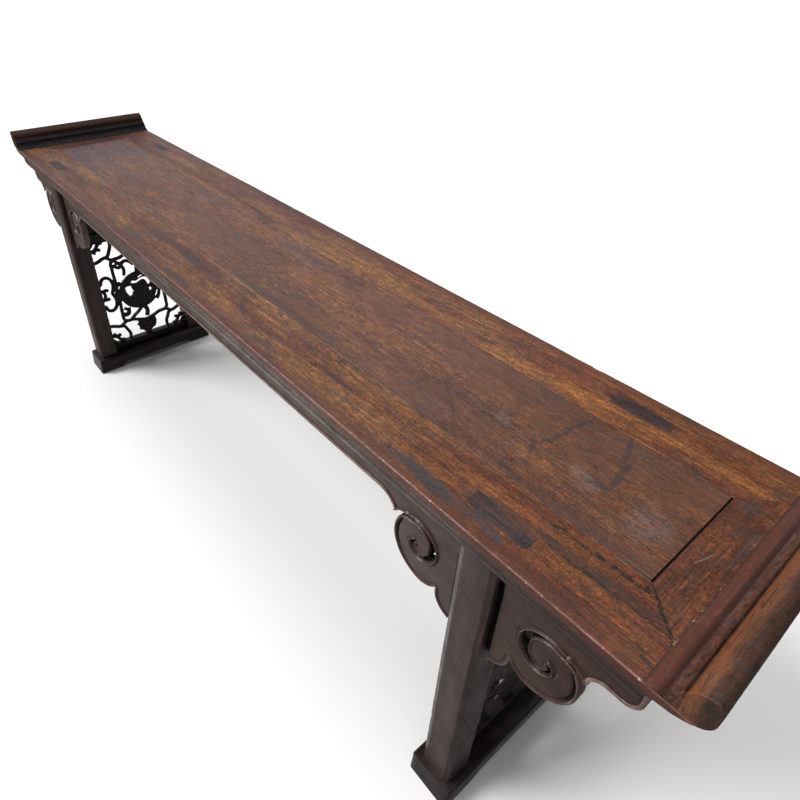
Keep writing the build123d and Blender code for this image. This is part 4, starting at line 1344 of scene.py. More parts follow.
def weathered(finish, colour, height, amount, seed):
    """Smoky stains, haze, specks, scratches and uneven polish that every worn top face shares."""
    stain = finish.noise((0.085, 0.040, 0.07), 8, 0.78, 0.8, seed + 11)
    broken = finish.noise((0.010, 0.0055, 0.009), 5, 0.75, 0.3, seed + 44)
    stain = finish.step(finish.plus(stain, broken, 0.16), 0.625, 0.690)
    colour = finish.lay(colour, SLATE, stain, 0.55 * amount)
    cluster = finish.patches(0.52, 0.60, (0.075, 0.026, 0.07), 5, 0.7, 0.4, seed + 46)
    dots = finish.patches(0.555, 0.605, (0.0050, 0.0034, 0.0045), 4, 0.72, 0.2, seed + 48)
    colour = finish.lay(colour, UMBER, dots, cluster, 0.75 * amount)
    haze = finish.patches(0.5, 0.68, (0.13, 0.05, 0.1), 6, 0.7, 0.5, seed + 12)
    colour = finish.lay(colour, HAZE, haze, 0.30 * amount)
    scratches = 0.0
    for number, (turn, long) in enumerate(((5, 0.11), (-32, 0.05), (55, 0.04), (108, 0.05))):
        line = finish.noise((long, 0.0013, 0.05), 2, 0.5, 0.2, seed + 17 + number * 5, turn)
        scratches = finish.calc("MAXIMUM", scratches, finish.step(line, 0.73, 0.80))
    where = finish.patches(0.45, 0.62, (0.10, 0.07, 0.1), 4, 0.6, 0, seed + 40)
    scratches = finish.times(scratches, where)
    colour = finish.lay(colour, DUST, scratches, 0.4 * amount)
    height = finish.plus(height, scratches, -0.4)
    height = finish.plus(height, stain, -0.4)
    polish = finish.noise((0.10, 0.035, 0.1), 6, 0.7, 0.4, seed + 50)
    rough = finish.step(polish, 0.32, 0.68, 0.20, 0.44)
    bite = finish.noise((0.008, 0.006, 0.008), 4, 0.7, 0, seed + 53)
    return colour, height, finish.calc("ADD", rough, finish.step(bite, 0.40, 0.64, 0.0, 0.18))


def below_edge(finish, colour):
    """Darker lacquer down the moulded side, reddish on its upper band; painted shade makes it darker toward
    the right-hand end and black in the groove under the band and at the seat of the hollow.
    """
    patches = finish.noise((0.09, 0.5, 0.014), 6, 0.7, 0.5, 71)
    # painted shade: the side darkens toward the right-hand end, where it reflects a darker floor
    right_end_shade = finish.step(finish.x, 0.86, 1.15)
    band = finish.ramp(patches, (0.36, (0.060, 0.018, 0.016)), (0.5, (0.088, 0.026, 0.019)),
                       (0.64, (0.150, 0.050, 0.026)))
    band = finish.lay(band, (0.058, 0.013, 0.011), right_end_shade, 0.6)
    band_low, step_low = (TOP - BAND_DROP) * MM, (TOP - STEP_DROP) * MM
    seat_z = (TOP - COVE_DROP) * MM - 0.0005
    low = finish.fade(finish.z, band_low - 0.0030, band_low)
    tone = finish.ramp(patches, (0.35, (0.042, 0.018, 0.012)), (0.65, (0.084, 0.036, 0.022)))
    tone = finish.lay(tone, (0.026, 0.010, 0.008), right_end_shade, 0.6)
    # painted shade: black in the groove under the band and at the seat of the hollow
    groove = finish.times(finish.step(finish.z, step_low - 0.0010, step_low + 0.0015), low)
    tone = finish.mix(groove, tone, BLACK)
    seat_shade = finish.times(finish.step(finish.z, seat_z + 0.0030, seat_z),
                        finish.step(finish.z, seat_z - 0.0030, seat_z))
    tone = finish.lay(tone, BLACK, seat_shade, 0.75)
    under = finish.fade(finish.z, SURFACE - 0.0065, SURFACE - 0.0035)
    return finish.mix(under, colour, finish.mix(low, band, tone))


def arris_wear_and_highlight(finish, colour):
    """Thin pale line along the upper edge of a long rail, broken by chips: lacquer worn to lighter wood with
    a painted highlight along the rounded edge, and chips partly bare wood and partly a painted glint.
    """
    off = finish.away(finish.calc("ABSOLUTE", finish.y), HALF_DEPTH * MM - 0.0010)
    away = finish.calc("ADD", off, finish.away(finish.z, SURFACE - 0.0015))
    waver = finish.noise((0.030, 0.2, 0.2), 6, 0.75, 0, 81)
    line = finish.fade(finish.plus(away, waver, -0.007), -0.0030, -0.0014)
    fade = finish.step(finish.noise((0.06, 0.2, 0.2), 5, 0.7, 0, 85), 0.38, 0.62, 0.2, 0.7)
    # painted highlight and wear: the pale line along the rounded edge
    colour = finish.lay(colour, (0.28, 0.14, 0.12), line, fade)
    # pale chips: bare wood with a painted glint
    chips = finish.patches(0.585, 0.62, (0.009, 0.05, 0.05), 6, 0.8, 0, 83)
    chips = finish.times(chips, finish.fade(away, 0.0010, 0.0026))
    return finish.lay(colour, (0.56, 0.45, 0.41), chips, 0.85)


def painted_light_along_table(finish, colour, right, middle, left):
    """Lacquer that differs along the table as painted light and reflection: at the right end, in the middle,
    at the left end.
    """
    along = finish.step(finish.x, 0.62, 1.06)
    colour = finish.mix(along, finish.tint(colour, middle), finish.tint(colour, right))
    return finish.tint(colour, left, finish.step(finish.x, -0.60, -1.15))


def rail_zones(finish, colour, side):
    """Tones that run along a long rail: orange inside, dark streak, maroon at the edge."""
    out = finish.times(finish.y, side)
    wobble = finish.noise((0.22, 0.02, 0.2), 4, 0.6, 0.2, 87 + side)
    out = finish.plus(out, finish.calc("SUBTRACT", wobble, 0.5), 0.03)
    edge = finish.step(out, HALF_DEPTH * MM - 0.043, HALF_DEPTH * MM - 0.013)
    colour = finish.lay(colour, MAROON, edge, 0.65)
    if side > 0:
        lift = finish.times(finish.step(finish.x, 0.0, 0.4), finish.step(finish.x, 1.05, 0.95))
        colour = finish.tint(colour, (1.22, 1.22, 1.16), lift)
    # painted highlight: a pale line on the inner edge by the joint, where the eased edge catches the light,
    # broken into patches
    inner = finish.away(finish.calc("ABSOLUTE", finish.y), OPENING_Y * MM + 0.0009)
    rim = finish.fade(inner, 0.0004, 0.0011)
    worn = finish.patches(0.44, 0.56, (0.05, 0.05, 0.05), 5, 0.7, 0, 95)
    return finish.lay(colour, DUST, rim, worn, 0.8)


# marks of the top: centre, reach, tone, share, turn in degrees and how far it wanders
FRONT_COVER_MARKS = (
    # thin scratches along the inlaid cover
    ((1.040, -0.2085), (0.028, 0.0007), DUST, 0.7, 0, 0.003),
    ((1.062, -0.1895), (0.022, 0.0006), DUST, 0.5, -3, 0.003),
    # worn patch round the inlaid cover
    ((1.028, -0.1985), (0.070, 0.0180), (0.042, 0.022, 0.019), 0.9, -4, 0.008),
    ((1.080, -0.2060), (0.014, 0.0100), BLACK, 1.0, -20, 0.006),
    ((0.990, -0.1870), (0.018, 0.0060), BLACK, 0.9, -10, 0.006),
)
BACK_COVER_MARKS = (
    ((1.025, 0.2030), (0.072, 0.0190), UMBER, 1.0, -3, 0.010),
    ((1.050, 0.2060), (0.050, 0.0130), BLACK, 0.85, 0, 0.010),
)
FRONT_MARKS = (
    # dark streak near the right-hand mitre and the black line along its lower side
    ((1.16, -0.1720), (0.165, 0.0110), UMBER, 0.95, 3, 0.006),
    ((1.20, -0.1795), (0.105, 0.0034), BLACK, 0.9, 1, 0.004),
    # ragged chips beside the panel
    ((1.19, -0.1410), (0.075, 0.0050), BLACK, 1.0, 3, 0.006),
    ((1.105, -0.1450), (0.024, 0.0050), BLACK, 0.95, 5, 0.006),
    ((1.03, -0.1380), (0.014, 0.0022), BLACK, 0.7, -8, 0.004),
    ((0.975, -0.1330), (0.016, 0.0024), UMBER, 0.8, 0, 0.004),
    # chips down the mitre
    ((1.266, -0.1530), (0.042, 0.0030), BLACK, 1.0, -45, 0.003),
    ((1.243, -0.1370), (0.013, 0.0050), BLACK, 1.0, -20, 0.004),
    *FRONT_COVER_MARKS,
    # smoky patches toward the edge
    ((0.895, -0.2250), (0.090, 0.0120), SLATE, 1.0, 0, 0.012),
    ((0.935, -0.2370), (0.036, 0.0080), SLATE, 1.0, 0, 0.008),
    ((1.030, -0.2280), (0.040, 0.0090), SLATE, 0.9, -10, 0.008),
    ((-0.30, -0.2200), (0.060, 0.0160), SLATE, 0.6, 0, 0.012),
    ((-0.06, -0.1650), (0.050, 0.0120), SLATE, 0.7, 0, 0.012),
    ((0.42, -0.2250), (0.050, 0.0100), SLATE, 0.7, 0, 0.010),
    ((1.285, -0.2270), (0.020, 0.0040), BLACK, 0.7, -25, 0.008),
    ((1.272, -0.1500), (0.016, 0.0040), BLACK, 0.8, -45, 0.006),
    ((0.565, -0.1350), (0.016, 0.0090), BLACK, 0.75, -35, 0.010),
    ((0.60, -0.1830), (0.050, 0.0060), SLATE, 0.5, 0, 0.010),
    ((0.18, -0.1380), (0.060, 0.0100), (0.05, 0.026, 0.022), 0.7, 0, 0.012),
    ((0.235, -0.1620), (0.020, 0.0100), UMBER, 0.7, 0, 0.008),
    ((0.255, -0.1890), (0.026, 0.0070), SLATE, 0.7, -15, 0.008),
    ((0.02, -0.2380), (0.060, 0.0090), SLATE, 0.75, 0, 0.008),
    ((-0.26, -0.1700), (0.050, 0.0300), SLATE, 0.45, 20, 0.02),
)
BACK_MARKS = (
    *BACK_COVER_MARKS,
    ((0.985, 0.1970), (0.030, 0.0060), BLACK, 0.8, -8, 0.008),
    ((1.150, 0.2170), (0.030, 0.0030), UMBER, 0.8, 2, 0.006),
    ((1.205, 0.2170), (0.016, 0.0020), UMBER, 0.7, 2, 0.004),
    ((1.100, 0.2460), (0.012, 0.0080), SLATE, 0.6, 0, 0.006),
    ((1.035, 0.1560), (0.040, 0.0022), UMBER, 0.6, 50, 0.012),
    ((1.125, 0.1600), (0.036, 0.0022), UMBER, 0.55, 70, 0.012),
    ((1.285, 0.1800), (0.020, 0.0300), (0.035, 0.022, 0.018), 0.7, 20, 0.01),
    ((0.74, 0.2130), (0.034, 0.0030), UMBER, 0.5, 0, 0.006),
    ((0.46, 0.2010), (0.030, 0.0060), SLATE, 0.5, 0, 0.008),
    ((0.315, 0.1960), (0.012, 0.0070), SLATE, 0.5, 0, 0.006),
    ((-0.14, 0.1450), (0.050, 0.0120), SLATE, 0.5, 20, 0.01),
)
PANEL_MARKS = (
    # two wandering stains across the board
    ((0.978, 0.0450), (0.078, 0.0050), STAIN, 0.80, 82, 0.012),
    ((0.960, -0.0280), (0.026, 0.0044), STAIN, 0.80, -60, 0.006),
    ((1.074, 0.0850), (0.050, 0.0052), STAIN, 0.80, -72, 0.006),
    ((1.098, 0.0230), (0.050, 0.0062), STAIN, 0.85, -86, 0.006),
    ((1.084, -0.0220), (0.022, 0.0080), STAIN, 0.85, 10, 0.006),
    ((1.020, 0.0950), (0.060, 0.0040), SLATE, 0.7, 10, 0.010),
    ((1.100, 0.1240), (0.035, 0.0030), SLATE, 0.5, 0, 0.004),
    ((1.000, 0.1120), (0.030, 0.0060), UMBER, 0.45, 25, 0.01),
    ((0.980, -0.0760), (0.018, 0.0050), SLATE, 0.7, 5, 0.006),
    ((0.958, -0.1060), (0.014, 0.0060), SLATE, 0.6, -60, 0.006),
    ((1.060, 0.0080), (0.004, 0.0040), BLACK, 0.8, 0, 0.002),
    ((0.795, -0.0560), (0.062, 0.0010), BLACK, 0.75, -38, 0.006),
    ((0.120, 0.0050), (0.085, 0.0026), UMBER, 0.6, 48, 0.020),
    ((0.040, -0.0500), (0.050, 0.0022), UMBER, 0.5, 4, 0.006),
    ((0.425, 0.0950), (0.010, 0.0080), SLATE, 0.5, 0, 0.006),
    ((0.320, 0.0720), (0.012, 0.0100), SLATE, 0.4, 0, 0.006),
    ((-0.50, 0.0600), (0.020, 0.0100), SLATE, 0.4, 0, 0.006),
    ((0.100, 0.0900), (0.110, 0.0300), (0.075, 0.060, 0.060), 0.35, 5, 0.01),
    # the dull band along the front joint
    ((1.05, -0.1080), (0.14, 0.0100), (0.055, 0.024, 0.018), 0.6, 0, 0.008),
    ((0.30, -0.1080), (0.24, 0.0110), (0.050, 0.030, 0.028), 0.6, 0, 0.008),
)
# dusty scuffs of the panel: centre, reach and turn
PANEL_SCUFFS = (
    ((1.065, -0.0300), (0.030, 0.0150), -25),
    ((1.180, -0.0350), (0.034, 0.0340), 20),
    ((1.160, 0.0120), (0.016, 0.0060), 10),
    ((0.885, -0.0150), (0.020, 0.0120), -35),
)
END_MARKS = (
    ((1.270, -0.1550), (0.040, 0.0024), BLACK, 1.0, -45, 0.003),
    ((1.268, 0.0880), (0.026, 0.0300), UMBER, 0.6, 0, 0.02),
    ((1.256, 0.1250), (0.016, 0.0180), SLATE, 0.5, 30, 0.01),
    ((1.290, 0.0300), (0.004, 0.0600), SLATE, 0.6, 0, 0.006),
    ((1.262, -0.0280), (0.020, 0.0012), DUST, 0.45, 70, 0.006),
    ((1.285, -0.1950), (0.012, 0.0100), BLACK, 0.6, -40, 0.008),
)


def rail_finish(name, side, marks, inlay=0.0):
    """Long rails of the top; inlay darkens it for the covers let into the rail."""
    finish = Finish(name)
    tones = ((0.32, MAROON), (0.44, RED_BROWN), (0.54, ORANGE), (0.66, AMBER))
    colour, height = timber(finish, 0, tones, 0.05, 2)
    colour = rail_zones(finish, colour, side)
    colour, height, rough = weathered(finish, colour, height, 0.8, 1)
    streak = finish.patches(0.56, 0.66, (0.3, 0.007, 0.2), 5, 0.65, 0.3, 4.4)
    colour = finish.lay(colour, UMBER, streak, 0.55)
    # painted light: tints along the table for the light and its reflection
    right = (0.88, 0.66, 0.44) if side < 0 else (1.00, 0.84, 0.62)
    colour = painted_light_along_table(finish, colour, right, (1.02, 1.05, 1.10), (0.94, 0.96, 1.12))
    colour = marked(finish, colour, marks)
    if inlay:
        grey = finish.noise((0.03, 0.008, 0.02), 5, 0.7, 0.3, 91)
        tone = finish.ramp(grey, (0.38, (0.010, 0.006, 0.008)), (0.62, (0.050, 0.024, 0.025)))
        far_end = finish.step(finish.x, 0.0, -0.5)
        share = finish.plus(inlay, far_end, 0.9 - inlay)
        return finish.surface(finish.mix(share, colour, tone), rough, height)
    colour = below_edge(finish, colour)
    colour = arris_wear_and_highlight(finish, colour)
    return finish.surface(colour, rough, height)


def panel_finish():
    """The wide panel."""
    finish = Finish("panel_lacquer")
    tones = ((0.28, (0.070, 0.026, 0.017)), (0.42, (0.110, 0.042, 0.026)),
             (0.56, (0.142, 0.052, 0.024)), (0.72, (0.178, 0.070, 0.025)))
    colour, height = timber(finish, 0, tones, 0.06, 7)
    violet = finish.patches(0.42, 0.6, (0.45, 0.10, 0.3), 4, 0.55, 0.4, 9)
    colour = finish.lay(colour, (0.100, 0.042, 0.030), violet, 0.6)
    # painted reflection: the far end of the panel greys with the glare it reflects
    far_glare = finish.step(finish.x, -0.65, -1.15, 0.0, 0.16)
    colour = finish.mix(far_glare, colour, (0.095, 0.086, 0.098))
    colour, height, rough = weathered(finish, colour, height, 0.7, 5)
    ripple_line = finish.patches(0.45, 0.6, (0.08, 0.0045, 0.05), 3, 0.6, 0.5, 6.3)
    ripple_zone = finish.patches(0.4, 0.6, (0.3, 0.06, 0.2), 2, 0.5, 0, 6.9)
    ripples = finish.times(finish.step(finish.y, 0.02, -0.03), ripple_zone, ripple_line)
    colour = finish.lay(colour, (0.045, 0.024, 0.020), ripples, 0.4)
    height = finish.plus(height, ripples, -0.5)
    # painted light: tints along the table for the light and its reflection
    colour = painted_light_along_table(finish, colour, (0.92, 0.84, 0.64), (1.16, 1.20, 1.14), (0.84, 0.98, 1.30))
    colour = marked(finish, colour, PANEL_MARKS)
    for centre, reach, turn in PANEL_SCUFFS:
        patch = finish.spot(centre, reach, 0.5, turn=turn)
        smudge = finish.patches(0.42, 0.62, (0.012, 0.005, 0.01), 5, 0.75, 0.6, centre[0] * 7)
        colour = finish.lay(colour, (0.150, 0.122, 0.124), smudge, patch, 0.45)
        lines = finish.patches(0.54, 0.66, (0.013, 0.0011, 0.02), 4, 0.7, 1.2, centre[0] * 9, 50)
        colour = finish.lay(colour, DUST, patch, lines, 0.5)
    edge = finish.calc("ABSOLUTE", finish.y)
    grime = finish.step(edge, OPENING_Y * MM - 0.0028, OPENING_Y * MM - 0.0004)
    colour = finish.lay(colour, BLACK, grime, 0.8)
    # painted shade: the panel's sides and tongue, seen down the gaps, are painted black
    deep = finish.fade(finish.z, SURFACE - 0.0095, SURFACE - 0.0040)
    colour = finish.mix(deep, colour, BLACK)
    return finish.surface(colour, rough, height)


def end_rail_finish():
    """End rails, whose fibres run across the table."""
    finish = Finish("end_rail_lacquer")
    tones = ((0.3, MAROON), (0.45, (0.095, 0.030, 0.013)), (0.6, (0.125, 0.040, 0.015)),
             (0.75, (0.165, 0.058, 0.018)))
    colour, height = timber(finish, 1, tones, 0.03, 13)
    colour, height, rough = weathered(finish, colour, height, 0.5, 9)
    # painted light: tints along the table for the light and its reflection
    colour = painted_light_along_table(finish, colour, (0.93, 0.80, 0.52), (1.0, 1.0, 1.0), (0.62, 0.52, 0.55))
    colour = marked(finish, colour, END_MARKS)
    return finish.surface(below_edge(finish, colour), rough, height)


def flange_finish(name, gloss, sheen):
    """Raised flanges: hollow darkened as painted shade, rubbed bead, quirk painted black as shade, and brown
    crown; the left flange is painted near black as shade.
    """
    finish = Finish(name)
    tones = ((0.3, UMBER), (0.46, (0.070, 0.022, 0.014)), (0.58, (0.105, 0.036, 0.018)), (0.72, ORANGE))
    colour, height = timber(finish, 1, tones, 0.03, 21)
    across = finish.calc("ABSOLUTE", finish.x)
    foot = FLANGE_LOW[0] * MM
    cove = finish.step(across, foot + 0.029, foot + 0.026)
    colour = finish.lay(colour, (0.078, 0.022, 0.014), cove, 0.75)
    # painted shade: the steep part of the hollow is darkened where it turns from the light
    hollow = finish.times(finish.step(across, foot + 0.015, foot + 0.022), cove)
    colour = finish.lay(colour, (0.030, 0.009, 0.007), hollow, 0.85)
    bead = finish.fade(finish.away(across, foot + 0.0325), 0.0040, 0.0065)
    colour = finish.lay(colour, (0.082, 0.034, 0.022), bead, 0.45)
    chips = finish.noise((0.008, 0.018, 0.008), 7, 0.8, 0.6, 23)
    grey = finish.times(finish.step(chips, 0.56, 0.61), bead)
    colour = finish.lay(colour, (0.15, 0.125, 0.12), grey, 0.45)
    gone = finish.times(finish.step(chips, 0.47, 0.42), bead)
    colour = finish.lay(colour, BLACK, gone, 0.85)
    # painted shade: black in the quirk beside the bead
    quirk = finish.step(finish.away(across, foot + 0.0405), 0.0004, 0.0022, 0.85, 0.0)
    glow = finish.times(finish.step(across, foot + 0.0415, foot + 0.0445),
                        finish.step(across, foot + 0.064, foot + 0.054))
    colour = finish.lay(colour, (0.215, 0.078, 0.030), glow, 0.7)
    ragged = finish.plus(across, finish.noise((0.012, 0.060, 0.02), 7, 0.70, 0.6, 27), 0.06)
    crown = finish.step(ragged, foot + 0.076, foot + 0.104)
    colour = finish.lay(colour, (0.040, 0.019, 0.011), crown, 0.9)
    crack = finish.patches(0.535, 0.600, (0.0045, 0.045, 0.012), 6, 0.72, 0.9, 33)
    crack = finish.times(crack, finish.step(across, foot + 0.043, foot + 0.047))
    colour = finish.lay(colour, BLACK, crack, 0.6)
    colour = finish.tint(colour, (0.95, 0.80, 0.62), 0.8)
    # painted shade: the quirk painted black again higher up
    colour = finish.lay(colour, BLACK, quirk, finish.step(finish.z, SURFACE + 0.025, SURFACE + 0.032))
    colour, height, rough = weathered(finish, colour, height, 0.6, 15)
    seam = finish.fade(finish.z, SURFACE + 0.0002, SURFACE + 0.0014)
    front = finish.times(finish.step(finish.y, -0.215, -0.19), finish.step(finish.y, 0.0, -0.06))
    flake = finish.noise((0.03, 0.010, 0.03), 6, 0.8, 0, 25)
    flake = finish.step(finish.plus(flake, front, 0.05), 0.575, 0.635)
    colour = finish.lay(colour, BLACK, seam, 0.4)
    flake = finish.times(flake, finish.fade(finish.z, SURFACE, SURFACE + 0.0006))
    colour = finish.lay(colour, TAN, flake, 0.75)
    # painted shade: the left flange, turned away from the light, is painted near black, and its inner face
    # black
    left = finish.step(finish.x, -1.0, -1.1)
    colour = finish.lay(colour, (0.026, 0.012, 0.011), left, 0.78)
    left_inner_shade = finish.times(left, finish.step(across, HALF_LENGTH * MM - 0.040, HALF_LENGTH * MM - 0.044))
    colour = finish.lay(colour, BLACK, left_inner_shade, 0.96)
    # painted highlight: a faint lighter line along the left flange's bead
    rim = finish.fade(finish.away(across, foot + 0.036), 0.001, 0.003)
    colour = finish.lay(colour, (0.060, 0.030, 0.028), rim, left, 0.5)
    return finish.surface(colour, finish.times(rough, sheen), height, gloss)


def dark_finish(name, along, tones, rub_and_highlight, gloss=0.4, seed=0.0, shade=None):
    """Dark lacquer of aprons, legs and carvings, rubbed through where it stands out, with a painted
    highlight there and painted shade in its hollows.
    """
    finish = Finish(name)
    colour = finish.ramp(finish.noise(grained(along, 0.25, 0.03), 4, 0.6, 0.4, seed), *tones)
    fibre = finish.noise(grained(along, 0.07, 0.003), 4, 0.6, 0.1, seed + 3)
    colour = finish.tint(colour, finish.ramp(fibre, (0.3, (0.7, 0.7, 0.7)), (0.7, (1.3, 1.27, 1.25))))
    crackle = finish.noise((0.004, 0.004, 0.004), 4, 0.75, 0.3, seed + 4)
    light = finish.ramp(crackle, (0.3, (0.72, 0.72, 0.72)), (0.7, (1.30, 1.28, 1.26)))
    colour = finish.tint(colour, light)
    if shade:
        colour = shade(finish, colour)
    worn = finish.patches(0.4, 0.65, (0.03, 0.03, 0.03), 5, 0.65, 0.2, seed + 5)
    # painted highlight and wear: what stands out takes the lighter rub tone, partly rubbed lacquer and
    # partly a painted highlight
    rubbed_and_lit = finish.times(finish.step(finish.attribute("rubbed_and_lit"), 0.08, 0.40), finish.plus(0.4, worn, 0.6))
    colour = finish.lay(colour, rub_and_highlight, rubbed_and_lit, 0.9)
    # painted shade: hollows, channels and slots are painted near black
    sunk_shade = finish.step(finish.attribute("sunk_shade"), 0.08, 0.4)
    colour = finish.lay(colour, BLACK, sunk_shade, 0.92)
    dust = finish.patches(0.55, 0.72, (0.05, 0.05, 0.05), 5, 0.7, 0.2, seed + 9)
    colour = finish.lay(colour, (0.10, 0.068, 0.058), dust, 0.2)
    rough = finish.step(finish.noise((0.05, 0.05, 0.05), 5, 0.65, 0, seed + 12), 0.3, 0.7, 0.26, 0.46)
    height = finish.plus(fibre, dust, 0.3)
    height = finish.calc("ADD", height, crackle)
    return finish.surface(colour, rough, height, gloss, 0.0004, 0.5)


def leg_shade(finish, colour):
    """Painted shade: black in the slots behind the face of the spandrels."""
    behind = finish.step(finish.calc("ABSOLUTE", finish.y), 0.228, 0.214)
    high = finish.step(finish.z, 0.585, 0.60)
    return finish.lay(colour, BLACK, behind, high)


def board_shade(finish, colour):
    """Aprons and spandrels darken toward the right-hand end."""
    return finish.mix(finish.step(finish.x, 0.7, 1.25, 0.0, 0.5), colour, (0.026, 0.011, 0.010))


# =========================================================================================
# the table put together
# =========================================================================================
def painted(item, material):
    """Give a piece its one finish."""
    item.data.materials.clear()
    item.data.materials.append(material)


def dress(piece, material, slot, node):
    """Give a piece its finish, its slot and the node that it stands for."""
    painted(piece, material)
    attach(piece, "root")
    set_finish(piece, slot)
    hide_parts(node)


def carried_over(node, material):
    """Keep a node of the frame as it is and give it its finish."""
    item = frame["nodes"][node]
    painted(item, material)
    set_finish(item, item.get("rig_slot", "") or SLOT_OF[node])


SLOT_OF = {part["node"]: part["material_slot"] for part in frame["record"]["subparts"]}

front_lacquer = rail_finish("front_rail_lacquer", -1, FRONT_MARKS)
back_lacquer = rail_finish("back_rail_lacquer", 1, BACK_MARKS)
cover_lacquer = rail_finish("cover_lacquer", -1, FRONT_COVER_MARKS + BACK_COVER_MARKS, 0.62)
panel_lacquer = panel_finish()
end_lacquer = end_rail_finish()
flange_lacquer = flange_finish("right_flange_lacquer", 0.42, 1.0)
dull_flange_lacquer = flange_finish("left_flange_lacquer", 0.14, 1.3)
dark_tones = ((0.3, (0.034, 0.019, 0.017)), (0.5, (0.052, 0.030, 0.026)), (0.7, (0.078, 0.045, 0.036)))
leg_tones = ((0.3, (0.026, 0.016, 0.015)), (0.5, (0.040, 0.025, 0.023)), (0.7, (0.056, 0.036, 0.031)))
# painted shade: the trestle lacquer is painted darker still, near black, for the shade under the table
trestle_tones_and_shade = ((0.3, (0.009, 0.006, 0.006)), (0.55, (0.015, 0.010, 0.009)), (0.75, (0.034, 0.016, 0.012)))
board_lacquer = dark_finish("board_lacquer", 0, dark_tones, (0.25, 0.155, 0.125), seed=3, shade=board_shade)
leg_lacquer = dark_finish("leg_lacquer", 2, leg_tones, (0.12, 0.09, 0.08), 0.36, seed=31, shade=leg_shade)
trestle_lacquer = dark_finish("trestle_lacquer", 1, trestle_tones_and_shade, (0.075, 0.034, 0.026), seed=51)
bare_tones = ((0.3, (0.11, 0.07, 0.045)), (0.5, (0.16, 0.10, 0.065)), (0.7, (0.21, 0.14, 0.09)))
bare_timber = dark_finish("bare_timber", 1, bare_tones, (0.24, 0.17, 0.12), 0.3, seed=91)

front_rail = long_rail()
dress(front_rail, front_lacquer, "frame_wood", "front_top_rail")
dress(mirrored(front_rail, "back_rail", across_y=True), back_lacquer, "frame_wood", "back_top_rail")

right_rail = end_rail()
left_rail = mirrored(right_rail, "left_end_rail_worn", across_x=True)
dress(right_rail, end_lacquer, "frame_wood", "right_end_rail")
dress(left_rail, end_lacquer, "frame_wood", "left_end_rail")

dress(top_board(), panel_lacquer, "panel_wood", "top_panel")

sides = ((1, -1), (1, 1), (-1, -1), (-1, 1))
covers = [mortise_cover(end, side, number) for number, (end, side) in enumerate(sides, start=1)]
dress(joined("inlaid_covers", covers), cover_lacquer, "cover_wood", "mortise_covers")

right_lip = flange()
left_lip = mirrored(right_lip, "left_flange_worn", across_x=True)
dress(right_lip, flange_lacquer, "flange_wood", "right_flange")
dress(left_lip, dull_flange_lacquer, "flange_wood", "left_flange")

near_apron = apron()
dress(near_apron, board_lacquer, "dark_wood", "front_apron")
dress(mirrored(near_apron, "back_apron_board", across_y=True), board_lacquer, "dark_wood", "back_apron")

post = leg()
outer_cloud = spandrel()
inner_cloud = mirrored(outer_cloud, "front_right_inner_cloud", across_x=True, about=LEG_X)
for place, across_x, across_y in (("front_right", False, False), ("front_left", True, False),
                                  ("back_right", False, True), ("back_left", True, True)):
    for source, name, node, material in (
        (post, "post", "leg", leg_lacquer),
        (outer_cloud, "outer_cloud", "outer_spandrel", board_lacquer),
        (inner_cloud, "inner_cloud", "inner_spandrel", board_lacquer),
    ):
        piece = source
        if across_x or across_y:
            piece = mirrored(source, f"{place}_{name}", across_x, across_y)
        dress(piece, material, "dark_wood", f"{place}_{node}")

for source, node in ((foot_runner(), "foot_runner"), (lower_bar(), "lower_stretcher"),
                     (openwork(), "openwork_panel")):
    twin = mirrored(source, source.name.replace("right", "left"), across_x=True)
    dress(source, trestle_lacquer, "trestle_wood", f"right_{node}")
    dress(twin, trestle_lacquer, "trestle_wood", f"left_{node}")

for node in frame["nodes"]:
    if "batten" in node:
        carried_over(node, bare_timber)
    elif "upper_stretcher" in node or "cross_board" in node:
        carried_over(node, trestle_lacquer)
    elif "end_board" in node:
        carried_over(node, board_lacquer)

# =========================================================================================
# floor, light and camera
# =========================================================================================
scene = bpy.context.scene
FLOOR_REACH = 60.0
floor_mesh = bpy.data.meshes.new("floor")
floor_mesh.from_pydata(
    [(-FLOOR_REACH, -FLOOR_REACH, 0), (FLOOR_REACH, -FLOOR_REACH, 0),
     (FLOOR_REACH, FLOOR_REACH, 0), (-FLOOR_REACH, FLOOR_REACH, 0)], [], [(0, 1, 2, 3)])
floor = linked("floor", floor_mesh)
pale = bpy.data.materials.new("pale_floor")
pale.use_nodes = True
pale_shader = pale.node_tree.nodes["Principled BSDF"]
pale_shader.inputs["Base Color"].default_value = (0.94, 0.92, 0.90, 1)
pale_shader.inputs["Roughness"].default_value = 0.9
pale_shader.inputs["Specular IOR Level"].default_value = 0.0
floor_mesh.materials.append(pale)
floor.visible_glossy = False     # a white floor would veil the dark sides of the table

world = bpy.data.worlds.new("studio")
world.use_nodes = True
scene.world = world
studio = world.node_tree
studio.nodes.clear()
looking = add_node(studio, "ShaderNodeTexCoord").outputs["Generated"]
looking = add_node(studio, "ShaderNodeSeparateXYZ", {0: looking}).outputs


def wall(*stops):
    """Tones of the studio from straight down (0) over the horizon (0.5) to straight up (1)."""
    inputs = {0: looking["Z"], 1: 0.5, 2: 0.5}
    lifted = add_node(studio, "ShaderNodeMath", inputs, operation="MULTIPLY_ADD").outputs[0]
    return add_ramp(studio, lifted, stops)


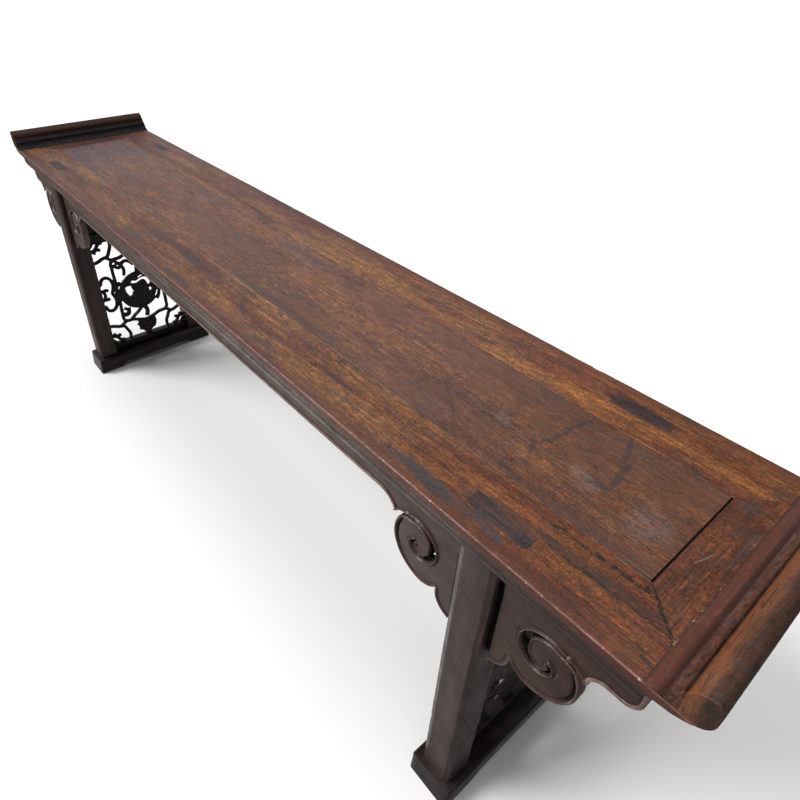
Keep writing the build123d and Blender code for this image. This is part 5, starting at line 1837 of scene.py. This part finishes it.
OVERHEAD = ((0.93, (0.07, 0.07, 0.07)), (0.985, (1.0, 1.0, 1.0)))
left_wall = wall((0.0, (0.40, 0.40, 0.39)), (0.16, (0.29, 0.285, 0.28)), (0.34, (0.085, 0.070, 0.060)),
                 (0.46, (0.105, 0.088, 0.078)), (0.52, (0.155, 0.142, 0.133)), (0.62, (0.155, 0.175, 0.20)),
                 (0.75, (0.13, 0.155, 0.185)), (0.85, (0.06, 0.064, 0.07)), *OVERHEAD)
other_walls = wall((0.0, (0.05, 0.049, 0.048)), (0.45, (0.05, 0.049, 0.048)), (0.5, (0.05, 0.05, 0.05)),
                   (0.75, (0.03, 0.03, 0.032)), (0.85, (0.03, 0.03, 0.03)), *OVERHEAD)
leftward = add_node(studio, "ShaderNodeMapRange", {
    "Value": looking["X"], "From Min": -0.05, "From Max": -0.70}, interpolation_type="SMOOTHSTEP")
room = add_node(studio, "ShaderNodeMix", {0: leftward.outputs[0], 6: other_walls, 7: left_wall},
                data_type="RGBA")
sky = add_node(studio, "ShaderNodeBackground", {"Color": room.outputs[2], "Strength": 3.2})
backdrop = add_node(studio, "ShaderNodeBackground", {"Color": (0.94, 0.94, 0.94, 1)})
seen = add_node(studio, "ShaderNodeLightPath").outputs["Is Camera Ray"]
either = add_node(studio, "ShaderNodeMixShader", {0: seen, 1: sky.outputs[0], 2: backdrop.outputs[0]})
add_node(studio, "ShaderNodeOutputWorld", {"Surface": either.outputs[0]})

sun = bpy.data.lights.new("key", "SUN")
sun.energy = 2.6
sun.angle = math.radians(24)
key = linked("key", sun)
key.location = (-2.0, -2.6, 4.0)
key.rotation_euler = (Vector((0, 0, 0.6)) - key.location).to_track_quat("-Z", "Y").to_euler()
key.visible_camera = False

scene.view_settings.view_transform = "Standard"

# camera: where it stands, how it is turned, and its picture in pixels
CAMERA_PLACE = (1.3637, -0.7537, 1.5945)
CAMERA_TURN, CAMERA_TILT, CAMERA_ROLL = (math.radians(v) for v in (50.153, 35.563, 1.150))
FOCAL_PIXELS = 608.41
PICTURE = 800
CENTRE_PIXEL = (360.16, 364.15)
SENSOR = 36.0

back = Vector((math.sin(CAMERA_TURN) * math.cos(CAMERA_TILT),
               -math.cos(CAMERA_TURN) * math.cos(CAMERA_TILT), math.sin(CAMERA_TILT)))
right = (-back).cross(Vector((0, 0, 1))).normalized()
up = right.cross(-back)
turned_right = math.cos(CAMERA_ROLL) * right + math.sin(CAMERA_ROLL) * up
turned_up = -math.sin(CAMERA_ROLL) * right + math.cos(CAMERA_ROLL) * up
camera_data = bpy.data.cameras.new("camera")
camera_data.sensor_width = SENSOR
camera_data.lens = FOCAL_PIXELS * SENSOR / PICTURE
camera_data.shift_x = (PICTURE / 2 - CENTRE_PIXEL[0]) / PICTURE
camera_data.shift_y = (CENTRE_PIXEL[1] - PICTURE / 2) / PICTURE
camera_data.clip_start = 0.01
camera = linked("camera", camera_data)
axes = Matrix((turned_right, turned_up, back)).transposed().to_4x4()
camera.matrix_world = Matrix.Translation(CAMERA_PLACE) @ axes
scene.camera = camera
